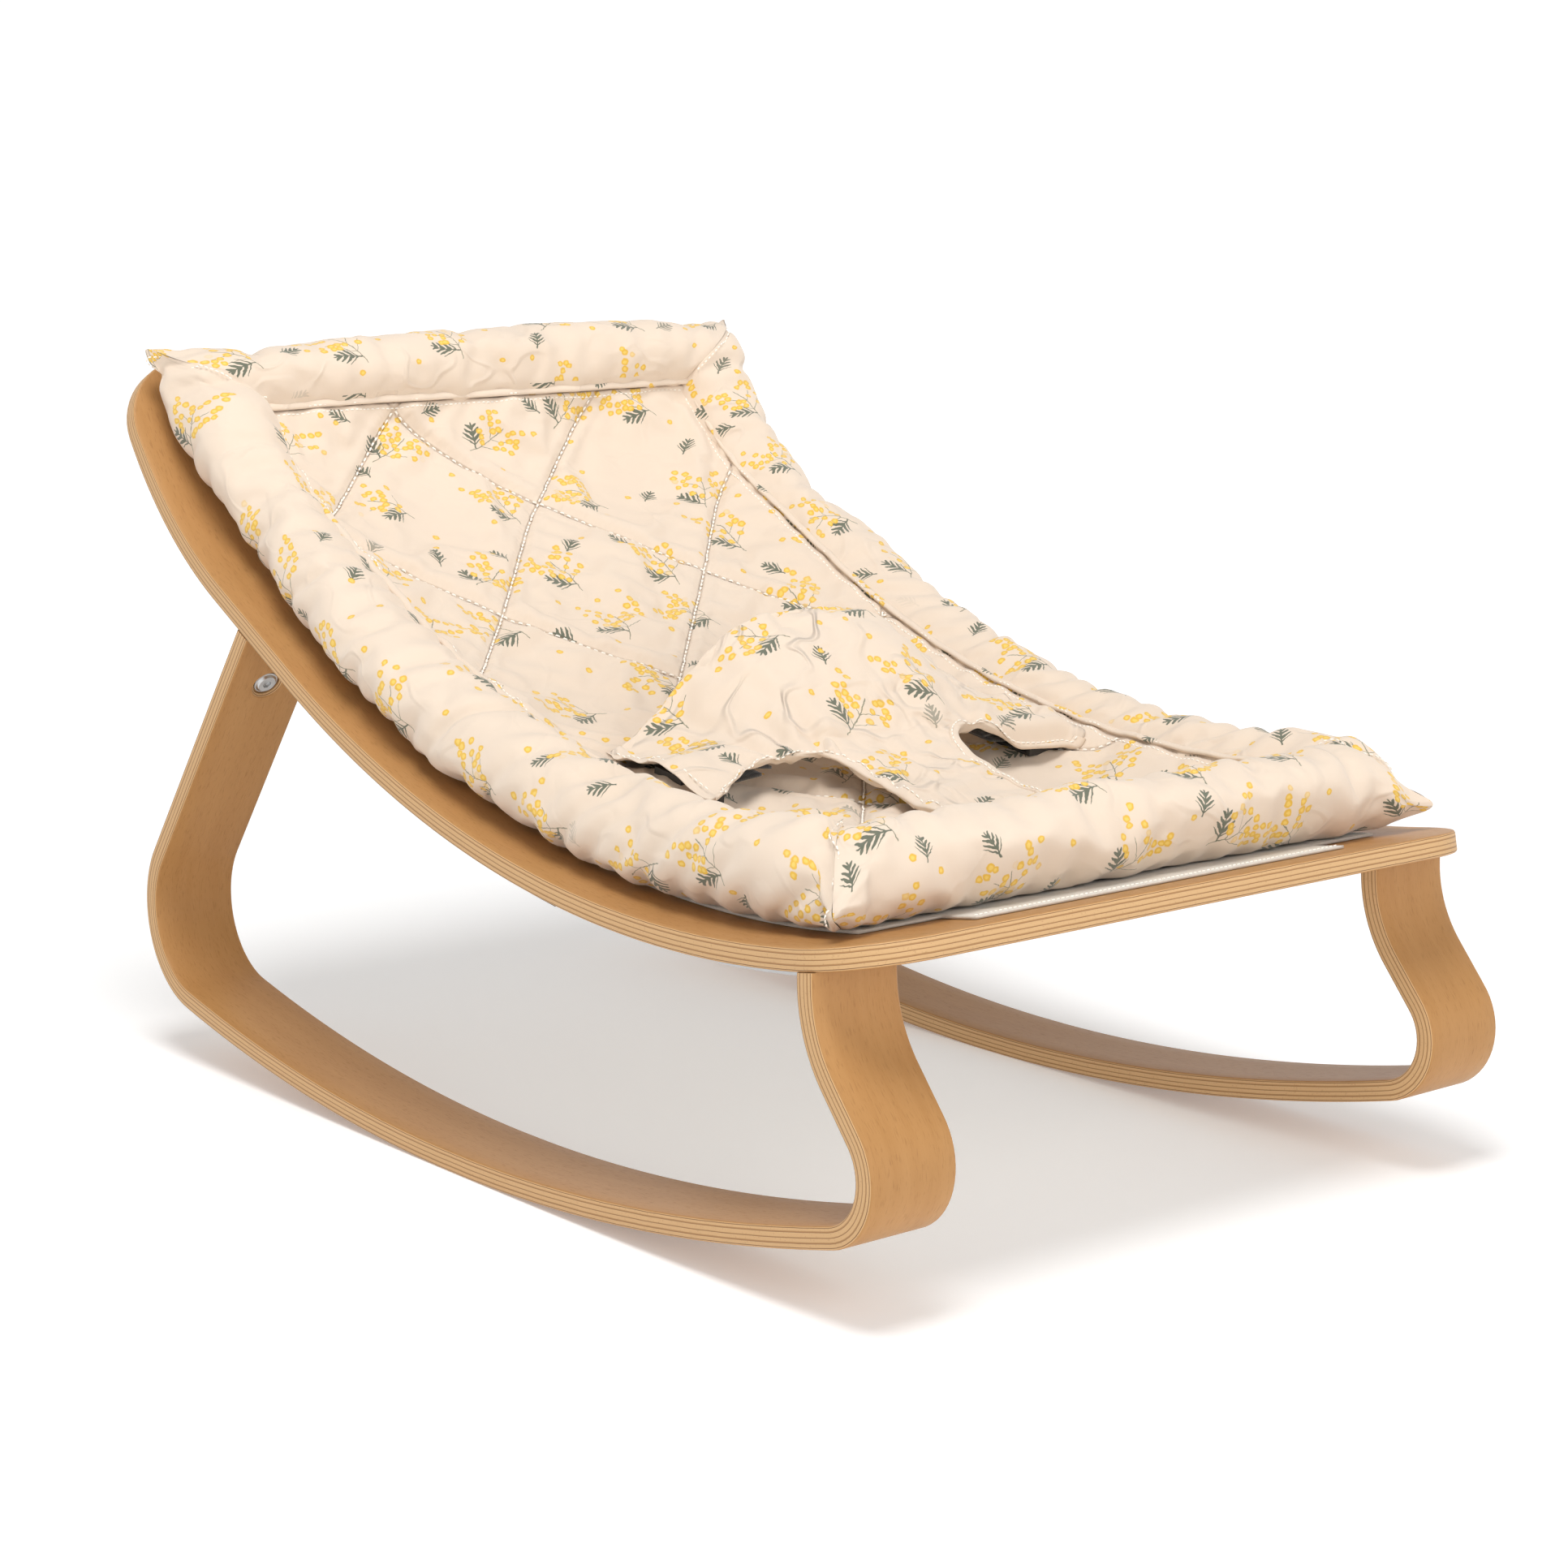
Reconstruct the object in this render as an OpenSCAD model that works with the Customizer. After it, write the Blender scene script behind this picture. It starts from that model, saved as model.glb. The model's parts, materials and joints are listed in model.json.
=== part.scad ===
// Baby rocker: a bent-plywood seat ring on two bent-plywood rockers, with a
// fabric sling, a bolstered cushion and a T-shaped harness.
// Millimetres. X across the seat, Y from foot end to head end, Z up.
// The seat is laid out by two numbers: s, the distance along its bent side
// profile from the foot end, and h, the height above its underside.

/* [Plywood] */
// Width over both rockers and over the seat ring
seat_w = 420; // [400:5:440]
// Thickness of the bent plywood
ply_t = 11; // [10:0.5:12]
// Width of each rail of the seat ring, and of each rocker
rail_w = 50; // [46:1:54]
// Outer corner radius of the seat ring
corner_r = 45; // [35:1:50]
// Corner radius of the opening in the seat ring
opening_r = 30; // [20:1:34]

/* [Seat profile] */
// Height of the seat's underside at the foot end
foot_z = 166; // [164:1:168]
// Slope of the seat at the foot end, in degrees below level
foot_dip = 12; // [11:0.5:13]
// Bend radius of the seat's bottom
seat_bend_r = 700; // [680:10:720]
// Slope of the backrest, in degrees
back_slope = 28; // [27:0.5:29]
// Straight length of the backrest
back_flat = 80; // [70:5:90]
// Bend radius of the backrest's top
head_bend_r = 240; // [230:5:250]
// Slope of the head end, in degrees
head_slope = 66; // [64:1:68]

/* [Rockers] */
// Rolling radius of the rockers
rocker_r = 1200; // [1150:10:1250]
// Length of each straight facet of the rolling arc
facet = 24; // [20:1:28]
// Outer radius of the front bend
front_bend_r = 35; // [32:1:38]
// Outer radius of the rear bend
rear_bend_r = 56; // [52:1:60]

/* [Fasteners] */
// Thickness of the steel angle brackets
bracket_t = 3; // [2:0.5:4]
// Width of the steel angle brackets
bracket_w = 34; // [28:1:38]
// Shank radius of the bolts through the rear legs
bolt_r = 4; // [3:0.5:4]
// Shank radius of the bracket screws
screw_r = 2; // [1.8:0.1:2.5]

/* [Soft parts] */
// Radius of the cushion's side and foot bolsters
bolster_r = 23.2; // [21:0.2:23.2]
// Radius of the cushion's head bolster
head_r = 27; // [23:0.5:27]
// Half width of the quilted panel between the side bolsters
panel_x = 145; // [140:1:145]
// Thickness of the quilted panel
panel_t = 22; // [16:1:22]
// Thickness of the sling's fabric
cloth_t = 1.6; // [1:0.2:1.6]
// Width of the webbing
web_w = 25; // [20:1:28]
// Half width of the harness across the lap
belt_x = 100; // [90:1:101]

/* [Hidden] */
$fn = 48;
half_w = seat_w / 2;
inner_x = half_w - rail_w;
hole_play = 0.15;

// ---- paths: each is a start [y, z, heading] and a list of [length, turn] ----

// the point reached after moving len along a path that turns by turn degrees
function moved(p, len, turn) =
    turn == 0
    ? [p[0] + len * cos(p[2]), p[1] + len * sin(p[2]), p[2]]
    : let (r = len / (turn * PI / 180))
      [p[0] + r * (sin(p[2] + turn) - sin(p[2])),
       p[1] - r * (cos(p[2] + turn) - cos(p[2])),
       p[2] + turn];

// the point at distance s along a path
function at(p, segs, s, i = 0) =
    i == len(segs) - 1 || s <= segs[i][0]
    ? moved(p, s, segs[i][1] * s / segs[i][0])
    : at(moved(p, segs[i][0], segs[i][1]), segs, s - segs[i][0], i + 1);

// where each stretch of a path starts, and its end
function marks(segs, i = 0, s = 0) =
    i == len(segs) ? [s] : concat([s], marks(segs, i + 1, s + segs[i][0]));

function path_len(segs) = marks(segs)[len(segs)];

// distances between s0 and s1 that draw a path: bends in steps, straights whole
function stations(segs, s0, s1, bend_step) =
    let (m = marks(segs),
         inner = [for (i = [0 : len(segs) - 1])
                    let (n = segs[i][1] == 0 ? 1 : ceil(segs[i][0] / bend_step - 0.01))
                    for (k = [0 : n - 1]) m[i] + segs[i][0] * k / n])
    concat([s0], [for (s = inner) if (s > s0 + 0.5 && s < s1 - 0.5) s], [s1]);

// a point moved square to its heading; positive is to the left
function beside(p, off) = [p[0] - off * sin(p[2]), p[1] + off * cos(p[2])];

// outline of the strip between two offsets of a path
function strip(p, segs, s0, s1, h0, h1, bend_step) =
    let (st = stations(segs, s0, s1, bend_step))
    concat([for (s = st) beside(at(p, segs, s), h0)],
           [for (i = [len(st) - 1 : -1 : 0]) beside(at(p, segs, st[i]), h1)]);

// extrudes a [y, z] outline along X from x0 to x1
module along_x(x0, x1) {
    translate([x0, 0, 0]) rotate([90, 0, 90]) linear_extrude(x1 - x0) children();
}

// ---- the seat's side profile ----
head_flat = 8;
seat_segs = [
    [seat_bend_r * (foot_dip + back_slope) * PI / 180, foot_dip + back_slope],
    [back_flat, 0],
    [head_bend_r * (head_slope - back_slope) * PI / 180, head_slope - back_slope],
    [head_flat, 0]
];
seat_s = path_len(seat_segs);
seat_step = 20;

// ---- the rocker's side profile, from its resting facet each way ----
facet_turn = 2 * asin(facet / 2 / rocker_r);
front_facets = 12;
rear_facets = 11;
rest_y = -3;
front_lean = 130;
rear_lean = 126.6;
// the front leg: straight, then bent back to upright; the rear leg: straight
front_rise = 27;
front_back_r = 62;
front_top = 20;
rear_rise = 185;
front_segs = [
    [rocker_r * facet_turn * front_facets * PI / 180, facet_turn * front_facets],
    [front_bend_r * (front_lean - facet_turn * (front_facets + 0.5)) * PI / 180,
     front_lean - facet_turn * (front_facets + 0.5)],
    [front_rise, 0],
    [front_back_r * (front_lean - 90) * PI / 180, 90 - front_lean],
    [front_top, 0]
];
rear_segs = [
    [rocker_r * facet_turn * rear_facets * PI / 180, facet_turn * rear_facets],
    [rear_bend_r * (rear_lean - facet_turn * (rear_facets + 0.5)) * PI / 180,
     rear_lean - facet_turn * (rear_facets + 0.5)],
    [rear_rise, 0]
];
half_start = [facet / 2, 0, facet_turn / 2];

// the foremost point of the rockers and the head end set the middle of the length
front_bend = moved(half_start, front_segs[0][0], front_segs[0][1]);
foremost = rest_y - beside(front_bend, front_bend_r)[0] - front_bend_r;
foot_set_back = 6.3;
seat_start = [foremost + foot_set_back, foot_z, -foot_dip];
head_end = at(seat_start, seat_segs, seat_s);
mid_y = (foremost + head_end[0]) / 2;

function seat_at(s) = at(seat_start, seat_segs, s);

// a band of the seat's profile: s0 to s1 along it, h0 to h1 above its underside
module seat_band(s0, s1, h0, h1, x0, x1) {
    along_x(x0, x1) polygon(strip(seat_start, seat_segs, s0, s1, h0, h1, seat_step));
}

// puts things at s along the seat: their Y runs along it and their Z points up out of it
module on_seat(s, x = 0, h = 0) {
    p = seat_at(s);
    translate([x, p[0], p[1]]) rotate([p[2], 0, 0]) translate([0, 0, h]) children();
}

// the same for a rocker's rear or front leg, with Z towards the inside of the loop
module on_rear_leg(s, x, h) {
    p = at(half_start, rear_segs, s);
    translate([x, rest_y + p[0], p[1]]) rotate([p[2], 0, 0]) translate([0, 0, h]) children();
}

module on_front_leg(s, x, h) {
    p = at(half_start, front_segs, s);
    translate([x, rest_y - p[0], p[1]]) rotate([-p[2], 0, 0]) translate([0, 0, h]) children();
}

// everything is drawn about the resting facet, then centred on its length
module placed() {
    translate([0, -mid_y, 0]) children();
}

// ---- places of the fasteners ----
leg_x = half_w - rail_w / 2;
rear_bolt_s = 511.5;
front_bolt_s = 419;
rear_foot_s = 542;
front_foot_s = 46.4;
front_plate = 64;
rear_plate = 50;
front_screw_s = [front_foot_s + 21, front_foot_s + 54];
rear_screw_s = [rear_foot_s + 18, rear_foot_s + 40];
screw_s = concat(front_screw_s, rear_screw_s);
sides = [-1, 1];

// ---- fastener sizes: rear bolts, front bolts and their inserts ----
rear_flange_r = 7;
rear_socket_r = 2.5;
head_hole_r = 8;
head_hole_depth = 3.5;
head_hole_bevel = 1.6;
nut_r = 7.4;
nut_t = 6.5;
washer_t = 1.5;
insert_r = 5;
insert_l = 8.6;
front_shank_r = 3;
front_socket_r = 2;

// ---- plywood ----

module corner_cutter(s, x_side, s_side) {
    on_seat(s, x_side * (half_w - corner_r), 0)
        difference() {
            translate([x_side > 0 ? 0 : -2 * corner_r, s_side > 0 ? 0 : -2 * corner_r, -20])
                cube([2 * corner_r, 2 * corner_r, ply_t + 40]);
            translate([0, 0, -30]) cylinder(r = corner_r, h = ply_t + 60, $fn = 96);
        }
}

module seat_frame() {
    color("burlywood")
    placed()
    difference() {
        seat_band(0, seat_s, 0, ply_t, -half_w, half_w);
        for (x_side = sides) {
            corner_cutter(corner_r, x_side, -1);
            corner_cutter(seat_s - corner_r, x_side, 1);
        }
        seat_band(rail_w + opening_r, seat_s - rail_w - opening_r, -2, ply_t + 2,
                  -inner_x, inner_x);
        seat_band(rail_w, seat_s - rail_w, -2, ply_t + 2,
                  opening_r - inner_x, inner_x - opening_r);
        for (x_side = sides, s = [rail_w + opening_r, seat_s - rail_w - opening_r])
            on_seat(s, x_side * (inner_x - opening_r), -2)
                cylinder(r = opening_r, h = ply_t + 4, $fn = 96);
        for (x_side = sides, s = screw_s)
            on_seat(s, x_side * leg_x, -1) cylinder(r = screw_r + hole_play, h = ply_t - 1);
        for (x_side = sides)
            on_seat(strap_s, x_side * anchor_x, -1)
                cylinder(r = anchor_r + hole_play, h = ply_t - 1);
    }
}

module rocker(x_side) {
    x0 = x_side > 0 ? half_w - rail_w : -half_w;
    x1 = x0 + rail_w;
    inner_start = beside(half_start, ply_t);
    color("burlywood")
    placed()
    difference() {
        union() {
            rocker_bend(front_segs, -1, x0, x1);
            rocker_bend(rear_segs, 1, x0, x1);
            along_x(x0, x1)
                polygon([[rest_y - facet / 2, 0], [rest_y + facet / 2, 0],
                         [rest_y + inner_start[0], inner_start[1]],
                         [rest_y - inner_start[0], inner_start[1]]]);
        }
        // the tops are cut to the slope of the seat's underside
        seat_band(0, seat_s, -0.1, 90, -half_w - 1, half_w + 1);
        on_rear_leg(rear_bolt_s, x_side * leg_x, -1)
            cylinder(r = bolt_r + hole_play, h = ply_t + 2);
        on_rear_leg(rear_bolt_s, x_side * leg_x, ply_t - head_hole_depth)
            cylinder(r = head_hole_r, h = head_hole_depth + 2);
        on_rear_leg(rear_bolt_s, x_side * leg_x, ply_t - head_hole_bevel + 0.1)
            cylinder(r1 = head_hole_r, r2 = head_hole_r + head_hole_bevel, h = head_hole_bevel);
        on_front_leg(front_bolt_s, x_side * leg_x, ply_t - 9)
            cylinder(r = insert_r + hole_play, h = 10);
    }
}

// a half strip in two parts, so that the rolling arc keeps its own facets
module rocker_bend(segs, y_sign, x0, x1) {
    arc = strip(half_start, segs, 0, segs[0][0], 0, ply_t, facet + 0.1);
    rest = strip(half_start, segs, segs[0][0], path_len(segs), 0, ply_t, 6);
    for (outline = [arc, rest])
        along_x(x0, x1) polygon([for (q = outline) [rest_y + y_sign * q[0], q[1]]]);
}

// ---- steel brackets, bolts and screws ----

module front_bracket(x_side) {
    x0 = x_side * leg_x - bracket_w / 2;
    x1 = x0 + bracket_w;
    leg = strip(half_start, front_segs, front_bolt_s - 13, path_len(front_segs),
                ply_t + 0.1, ply_t + bracket_t, 6);
    color("silver")
    placed()
    difference() {
        union() {
            difference() {
                along_x(x0, x1) polygon([for (q = leg) [rest_y - q[0], q[1]]]);
                seat_band(0, seat_s, -0.4, 60, -half_w, half_w);
            }
            seat_band(front_foot_s, front_foot_s + front_plate, -bracket_t - 0.1, -0.1, x0, x1);
        }
        on_front_leg(front_bolt_s, x_side * leg_x, ply_t - 1)
            cylinder(r = front_shank_r + hole_play, h = bracket_t + 4);
        for (s = front_screw_s)
            on_seat(s, x_side * leg_x, -10) cylinder(r = screw_r + hole_play, h = 12);
    }
}

module rear_bracket(x_side) {
    x0 = x_side * leg_x - bracket_w / 2;
    x1 = x0 + bracket_w;
    leg = strip(half_start, rear_segs, rear_bolt_s - 15, path_len(rear_segs),
                -bracket_t, -0.1, 6);
    color("silver")
    placed()
    difference() {
        union() {
            difference() {
                along_x(x0, x1) polygon([for (q = leg) [rest_y + q[0], q[1]]]);
                seat_band(0, seat_s, -0.4, 60, -half_w, half_w);
            }
            seat_band(rear_foot_s, rear_foot_s + rear_plate, -bracket_t - 0.1, -0.1, x0, x1);
        }
        on_rear_leg(rear_bolt_s, x_side * leg_x, -bracket_t - 1)
            cylinder(r = bolt_r + hole_play, h = bracket_t + 4);
        for (s = rear_screw_s)
            on_seat(s, x_side * leg_x, -10) cylinder(r = screw_r + hole_play, h = 12);
    }
}

// one bolt through each rear leg, its flanged socket head sunk in the inner face
module rear_leg_bolts() {
    past_nut = washer_t + nut_t + 1;
    under_head = ply_t - head_hole_depth + 0.1;
    color("gainsboro")
    placed()
    for (x_side = sides)
        on_rear_leg(rear_bolt_s, x_side * leg_x, 0)
            difference() {
                union() {
                    translate([0, 0, -bracket_t - past_nut])
                        cylinder(r = bolt_r, h = bracket_t + past_nut + under_head);
                    translate([0, 0, under_head]) cylinder(r = rear_flange_r, h = 1.4);
                    translate([0, 0, under_head + 1.3])
                        cylinder(r1 = rear_flange_r - 0.8, r2 = rear_flange_r - 2, h = 1.7);
                }
                translate([0, 0, under_head + 1]) cylinder(r = rear_socket_r, h = 4, $fn = 6);
            }
}

module rear_leg_nuts() {
    color("gainsboro")
    placed()
    for (x_side = sides)
        on_rear_leg(rear_bolt_s, x_side * leg_x, -bracket_t - washer_t - 0.2 - nut_t)
            difference() {
                cylinder(r = nut_r, h = nut_t, $fn = 6);
                translate([0, 0, -1]) cylinder(r = bolt_r + 0.05, h = nut_t + 2);
            }
}

module rear_leg_washers() {
    color("gainsboro")
    placed()
    for (x_side = sides)
        on_rear_leg(rear_bolt_s, x_side * leg_x, -bracket_t - 0.1 - washer_t)
            difference() {
                cylinder(r = 2 * bolt_r, h = washer_t);
                translate([0, 0, -1]) cylinder(r = bolt_r + 0.2, h = washer_t + 2);
            }
}

// a threaded insert sunk in each front leg from behind, and its bolt
module threaded_inserts() {
    color("goldenrod")
    placed()
    for (x_side = sides)
        on_front_leg(front_bolt_s, x_side * leg_x, ply_t - 8.9)
            difference() {
                cylinder(r = insert_r, h = insert_l);
                translate([0, 0, -1]) cylinder(r = front_shank_r + 0.05, h = insert_l + 2);
            }
}

module front_leg_bolts() {
    color("gainsboro")
    placed()
    for (x_side = sides)
        on_front_leg(front_bolt_s, x_side * leg_x, ply_t - 8) {
            difference() {
                union() {
                    cylinder(r = front_shank_r, h = 8 + bracket_t + 0.1);
                    translate([0, 0, 8 + bracket_t + 0.1])
                        cylinder(r1 = 2 * front_shank_r, r2 = 2 * front_shank_r - 1.6, h = 3);
                }
                translate([0, 0, 8 + bracket_t + 1.4])
                    cylinder(r = front_socket_r, h = 4, $fn = 6);
            }
        }
}

// pan-head screws that hold the brackets to the seat ring
module bracket_screws() {
    color("gainsboro")
    placed()
    for (x_side = sides, s = screw_s)
        on_seat(s, x_side * leg_x, 0) {
            translate([0, 0, -bracket_t - 0.1]) cylinder(r = screw_r, h = bracket_t + 8.6);
            translate([0, 0, -bracket_t - 2.9]) cylinder(r1 = 3, r2 = 4.2, h = 2.8);
        }
}

// ---- sling: a sheet on the ring, with flaps wrapped round its inner edges ----
sheet_h = ply_t + 0.2;
tab_x = 123;
tab_s = 22;
tape_h = -1.2;
flap_h = tape_h - 0.3 - cloth_t;
flap_tip = 28;
tape_w = 14;
edge_gap = 0.4;
side_flap_s0 = 150;
side_flap_s1 = 520;
strap_s = 252;
web_t = 1.5;
web_x = panel_x + 2.5;
anchor_x = half_w - 18;
anchor_r = 1.5;

module sling_sheet() {
    color("wheat")
    placed()
    difference() {
        union() {
            seat_band(tab_s, seat_s - tab_s, sheet_h, sheet_h + cloth_t, -tab_x, tab_x);
            seat_band(rail_w - 4, seat_s - rail_w + 4, sheet_h, sheet_h + cloth_t,
                      -inner_x - 12, inner_x + 12);
        }
        for (x_side = sides)
            mirror([x_side > 0 ? 0 : 1, 0, 0])
                seat_band(strap_s - web_w / 2 - 2, strap_s + web_w / 2 + 2,
                          sheet_h - 1, sheet_h + cloth_t + 1, web_x - 1, web_x + web_t + 1);
    }
}

// an end flap hangs from the sheet, then turns under the bar to the tape
module end_flap(edge_s, tip_s, outward) {
    s0 = min(edge_s, edge_s - outward * cloth_t);
    color("wheat")
    placed() {
        seat_band(s0, s0 + cloth_t, flap_h + cloth_t, sheet_h - 0.3, -tab_x, tab_x);
        seat_band(min(s0, tip_s), max(s0 + cloth_t, tip_s), flap_h, flap_h + cloth_t,
                  -tab_x, tab_x);
    }
}

module side_flap(x_side) {
    x1 = inner_x - edge_gap;
    color("wheat")
    placed()
        mirror([x_side > 0 ? 0 : 1, 0, 0]) {
            seat_band(side_flap_s0, side_flap_s1, flap_h + cloth_t, sheet_h - 0.3, x1 - cloth_t, x1);
            seat_band(side_flap_s0, side_flap_s1, flap_h, flap_h + cloth_t, x1 - cloth_t, half_w - 26);
        }
}

// hook tape stuck to the plywood above each flap
module side_tape(x_side) {
    color("dimgray")
    placed()
        mirror([x_side > 0 ? 0 : 1, 0, 0])
            seat_band(side_flap_s0 + 10, side_flap_s1 - 10, tape_h, -0.1, inner_x + 4, half_w - 28);
}

module end_tape(s) {
    color("dimgray")
    placed() seat_band(s, s + tape_w, tape_h, -0.1, 10 - tab_x, tab_x - 10);
}

// ---- cushion ----
panel_h = sheet_h + cloth_t + 0.3;
bolster_h = panel_h + bolster_r;
foot_bolster_s = 57;
head_bolster_s = seat_s - 30;
side_s0 = foot_bolster_s + bolster_r + 1.5;
// the seat bends in towards the head bolster, so the panel stops a little shorter there
side_s1 = head_bolster_s - head_r - 7;
side_x = panel_x + 4.2 + bolster_r;
panel_top = panel_h + panel_t;
tube_sides = 16;

module quilted_panel() {
    color("antiquewhite")
    placed() seat_band(side_s0, side_s1, panel_h, panel_top, -panel_x, panel_x);
}

module cross_bolster(s, r) {
    color("antiquewhite")
    placed()
        on_seat(s, 0, panel_h + r)
            rotate([0, 90, 0])
                cylinder(r = r, h = 2 * (side_x + bolster_r), center = true, $fn = 64);
}

// a round tube bent along the seat, closed at both ends
module side_bolster(x_side) {
    n = tube_sides;
    st = stations(seat_segs, side_s0, side_s1, seat_step);
    rings = len(st);
    points = [for (s = st, k = [0 : n - 1])
        let (a = 360 * k / n, q = beside(seat_at(s), bolster_h + bolster_r * sin(a)))
        [x_side * side_x + bolster_r * cos(a), q[0], q[1]]];
    walls = [for (i = [0 : rings - 2], k = [0 : n - 1])
        let (a = i * n + k, b = i * n + (k + 1) % n)
        for (face = [[a, b, b + n], [a, b + n, a + n]]) face];
    start_cap = [for (k = [n - 1 : -1 : 0]) k];
    end_cap = [for (k = [0 : n - 1]) (rings - 1) * n + k];
    color("antiquewhite")
    placed() polyhedron(points, concat(walls, [start_cap, end_cap]));
}

// ---- harness: a strap up from the panel and a belt over the lap ----
hinge_s = 108;
hinge_h = panel_top + 3.6;
strap_x = 38;
strap_t = 5;
belt_s = 287;
belt_h = 78;
belt_r = 330;
belt_t = 6;
belt_tilt = 20;
belt_half = 50;
socket_h = panel_top + 1;
socket_x = 104;
socket_l = 32;
socket_t = 9;
plug_x = belt_x + 3;
plug_h = socket_h + socket_t + 1;
plug_t = 6;

module harness_panel() {
    low = [for (q = [[hinge_s, hinge_h - 2.5], [150, hinge_h - 1], [244, 56]])
           beside(seat_at(q[0]), q[1])];
    high = [for (q = [[244, 56 + strap_t], [150, hinge_h - 1 + strap_t],
                      [hinge_s, hinge_h - 2.5 + strap_t]])
            beside(seat_at(q[0]), q[1])];
    color("antiquewhite")
    placed() {
        along_x(-strap_x, strap_x) polygon(concat(low, high));
        on_seat(belt_s, 0, belt_h) rotate([belt_tilt, 0, 0]) translate([0, 0, -belt_r])
            intersection() {
                rotate([-90, 0, 0]) translate([0, 0, -belt_half])
                    difference() {
                        cylinder(r = belt_r, h = 2 * belt_half, $fn = 180);
                        translate([0, 0, -1])
                            cylinder(r = belt_r - belt_t, h = 2 * belt_half + 2, $fn = 180);
                    }
                translate([-belt_x, -belt_half - 1, 0])
                    cube([2 * belt_x, 2 * belt_half + 2, belt_r + 5]);
            }
    }
}

// webbing from its screw under the rail, up beside the panel, into the socket
module seat_strap(x_side) {
    s0 = strap_s - web_w / 2;
    s1 = strap_s + web_w / 2;
    low = flap_h - 0.2 - web_t;
    top = socket_h + 3.2;
    color("black")
    placed()
        mirror([x_side > 0 ? 0 : 1, 0, 0])
            difference() {
                union() {
                    seat_band(s0, s1, low, low + web_t, web_x, half_w - 9);
                    seat_band(s0, s1, low, top + web_t, web_x, web_x + web_t);
                    seat_band(s0, s1, top, top + web_t, socket_x + socket_l - 2, web_x + web_t);
                }
                on_seat(strap_s, anchor_x, low - 1)
                    cylinder(r = anchor_r + hole_play, h = web_t + 2);
            }
}

module strap_screws() {
    low = flap_h - 0.2 - web_t;
    color("gainsboro")
    placed()
    for (x_side = sides)
        on_seat(strap_s, x_side * anchor_x, 0) {
            translate([0, 0, low - 0.1]) cylinder(r = anchor_r, h = 8.6 - low);
            translate([0, 0, low - 2.1]) cylinder(r1 = 3.5, r2 = 4.5, h = 2);
        }
}

module buckle_socket(x_side) {
    w = web_w + 7;
    color("dimgray")
    placed()
        on_seat(strap_s, 0, socket_h)
            mirror([x_side > 0 ? 0 : 1, 0, 0])
                difference() {
                    translate([socket_x, -w / 2, 0]) cube([socket_l, w, socket_t]);
                    translate([socket_x - 1, -web_w / 2, 2]) cube([25, web_w, 4.5]);
                    translate([socket_x + 7, -6, 6]) cube([12, 12, 4]);
                    translate([socket_x + socket_l - 2.4, -web_w / 2 - 0.4, 2.7])
                        cube([4, web_w + 0.8, 2.5]);
                }
}

module buckle_button(x_side) {
    color("crimson")
    placed()
        on_seat(strap_s, 0, socket_h)
            mirror([x_side > 0 ? 0 : 1, 0, 0]) {
                translate([socket_x + 7.2, -5.8, 6]) cube([11.6, 11.6, 3.8]);
                translate([socket_x + 5.5, -7.5, 5]) cube([15, 15, 1.3]);
            }
}

module buckle_plug(x_side) {
    color("dimgray")
    placed()
        on_seat(strap_s, 0, plug_h)
            mirror([x_side > 0 ? 0 : 1, 0, 0])
                difference() {
                    union() {
                        translate([plug_x, -14, 0]) cube([9, 28, plug_t]);
                        translate([plug_x + 8.9, -11, 1]) cube([17, 22, 4]);
                    }
                    translate([plug_x + 2.5, -13.2, -1]) cube([2.5, 26.4, plug_t + 2]);
                    translate([plug_x + 15, -5, 0]) cube([5, 10, plug_t]);
                }
}

// webbing from inside the belt's end, turned down through the plug's slot
module wing_strap(x_side) {
    color("black")
    placed()
        on_seat(strap_s, 0, plug_h)
            mirror([x_side > 0 ? 0 : 1, 0, 0]) {
                translate([belt_x + 0.4, -web_w / 2, plug_t + 0.3]) cube([7.3, web_w, web_t]);
                translate([plug_x + 3, -web_w / 2, 0]) cube([web_t, web_w, plug_t + 1]);
            }
}

seat_frame();
rocker(-1);  // rocker_left
rocker(1);  // rocker_right
front_bracket(-1);  // front_bracket_left
front_bracket(1);  // front_bracket_right
rear_bracket(-1);  // rear_bracket_left
rear_bracket(1);  // rear_bracket_right
rear_leg_bolts();
rear_leg_nuts();
rear_leg_washers();
threaded_inserts();
front_leg_bolts();
bracket_screws();
sling_sheet();
end_flap(rail_w + edge_gap, flap_tip, -1);  // sling_foot_flap
end_flap(seat_s - rail_w - edge_gap, seat_s - flap_tip, 1);  // sling_head_flap
side_flap(-1);  // sling_side_flap_left
side_flap(1);  // sling_side_flap_right
side_tape(-1);  // hook_tape_left
side_tape(1);  // hook_tape_right
end_tape(flap_tip + 3);  // hook_tape_foot
end_tape(seat_s - flap_tip - 3 - tape_w);  // hook_tape_head
quilted_panel();
cross_bolster(foot_bolster_s, bolster_r);  // foot_bolster
cross_bolster(head_bolster_s, head_r);  // head_bolster
side_bolster(-1);  // side_bolster_left
side_bolster(1);  // side_bolster_right
harness_panel();
wing_strap(-1);  // wing_strap_left
wing_strap(1);  // wing_strap_right
buckle_plug(-1);  // buckle_plug_left
buckle_plug(1);  // buckle_plug_right
seat_strap(-1);  // seat_strap_left
seat_strap(1);  // seat_strap_right
strap_screws();
buckle_socket(-1);  // buckle_socket_left
buckle_socket(1);  // buckle_socket_right
buckle_button(-1);  // buckle_button_left
buckle_button(1);  // buckle_button_right
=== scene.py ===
"""Baby rocker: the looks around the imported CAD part. Metres, Z up, foot end towards -Y."""
from contextlib import contextmanager
import json
import math
import bmesh
import bpy
import numpy as np
from mathutils import Matrix, Vector


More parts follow.
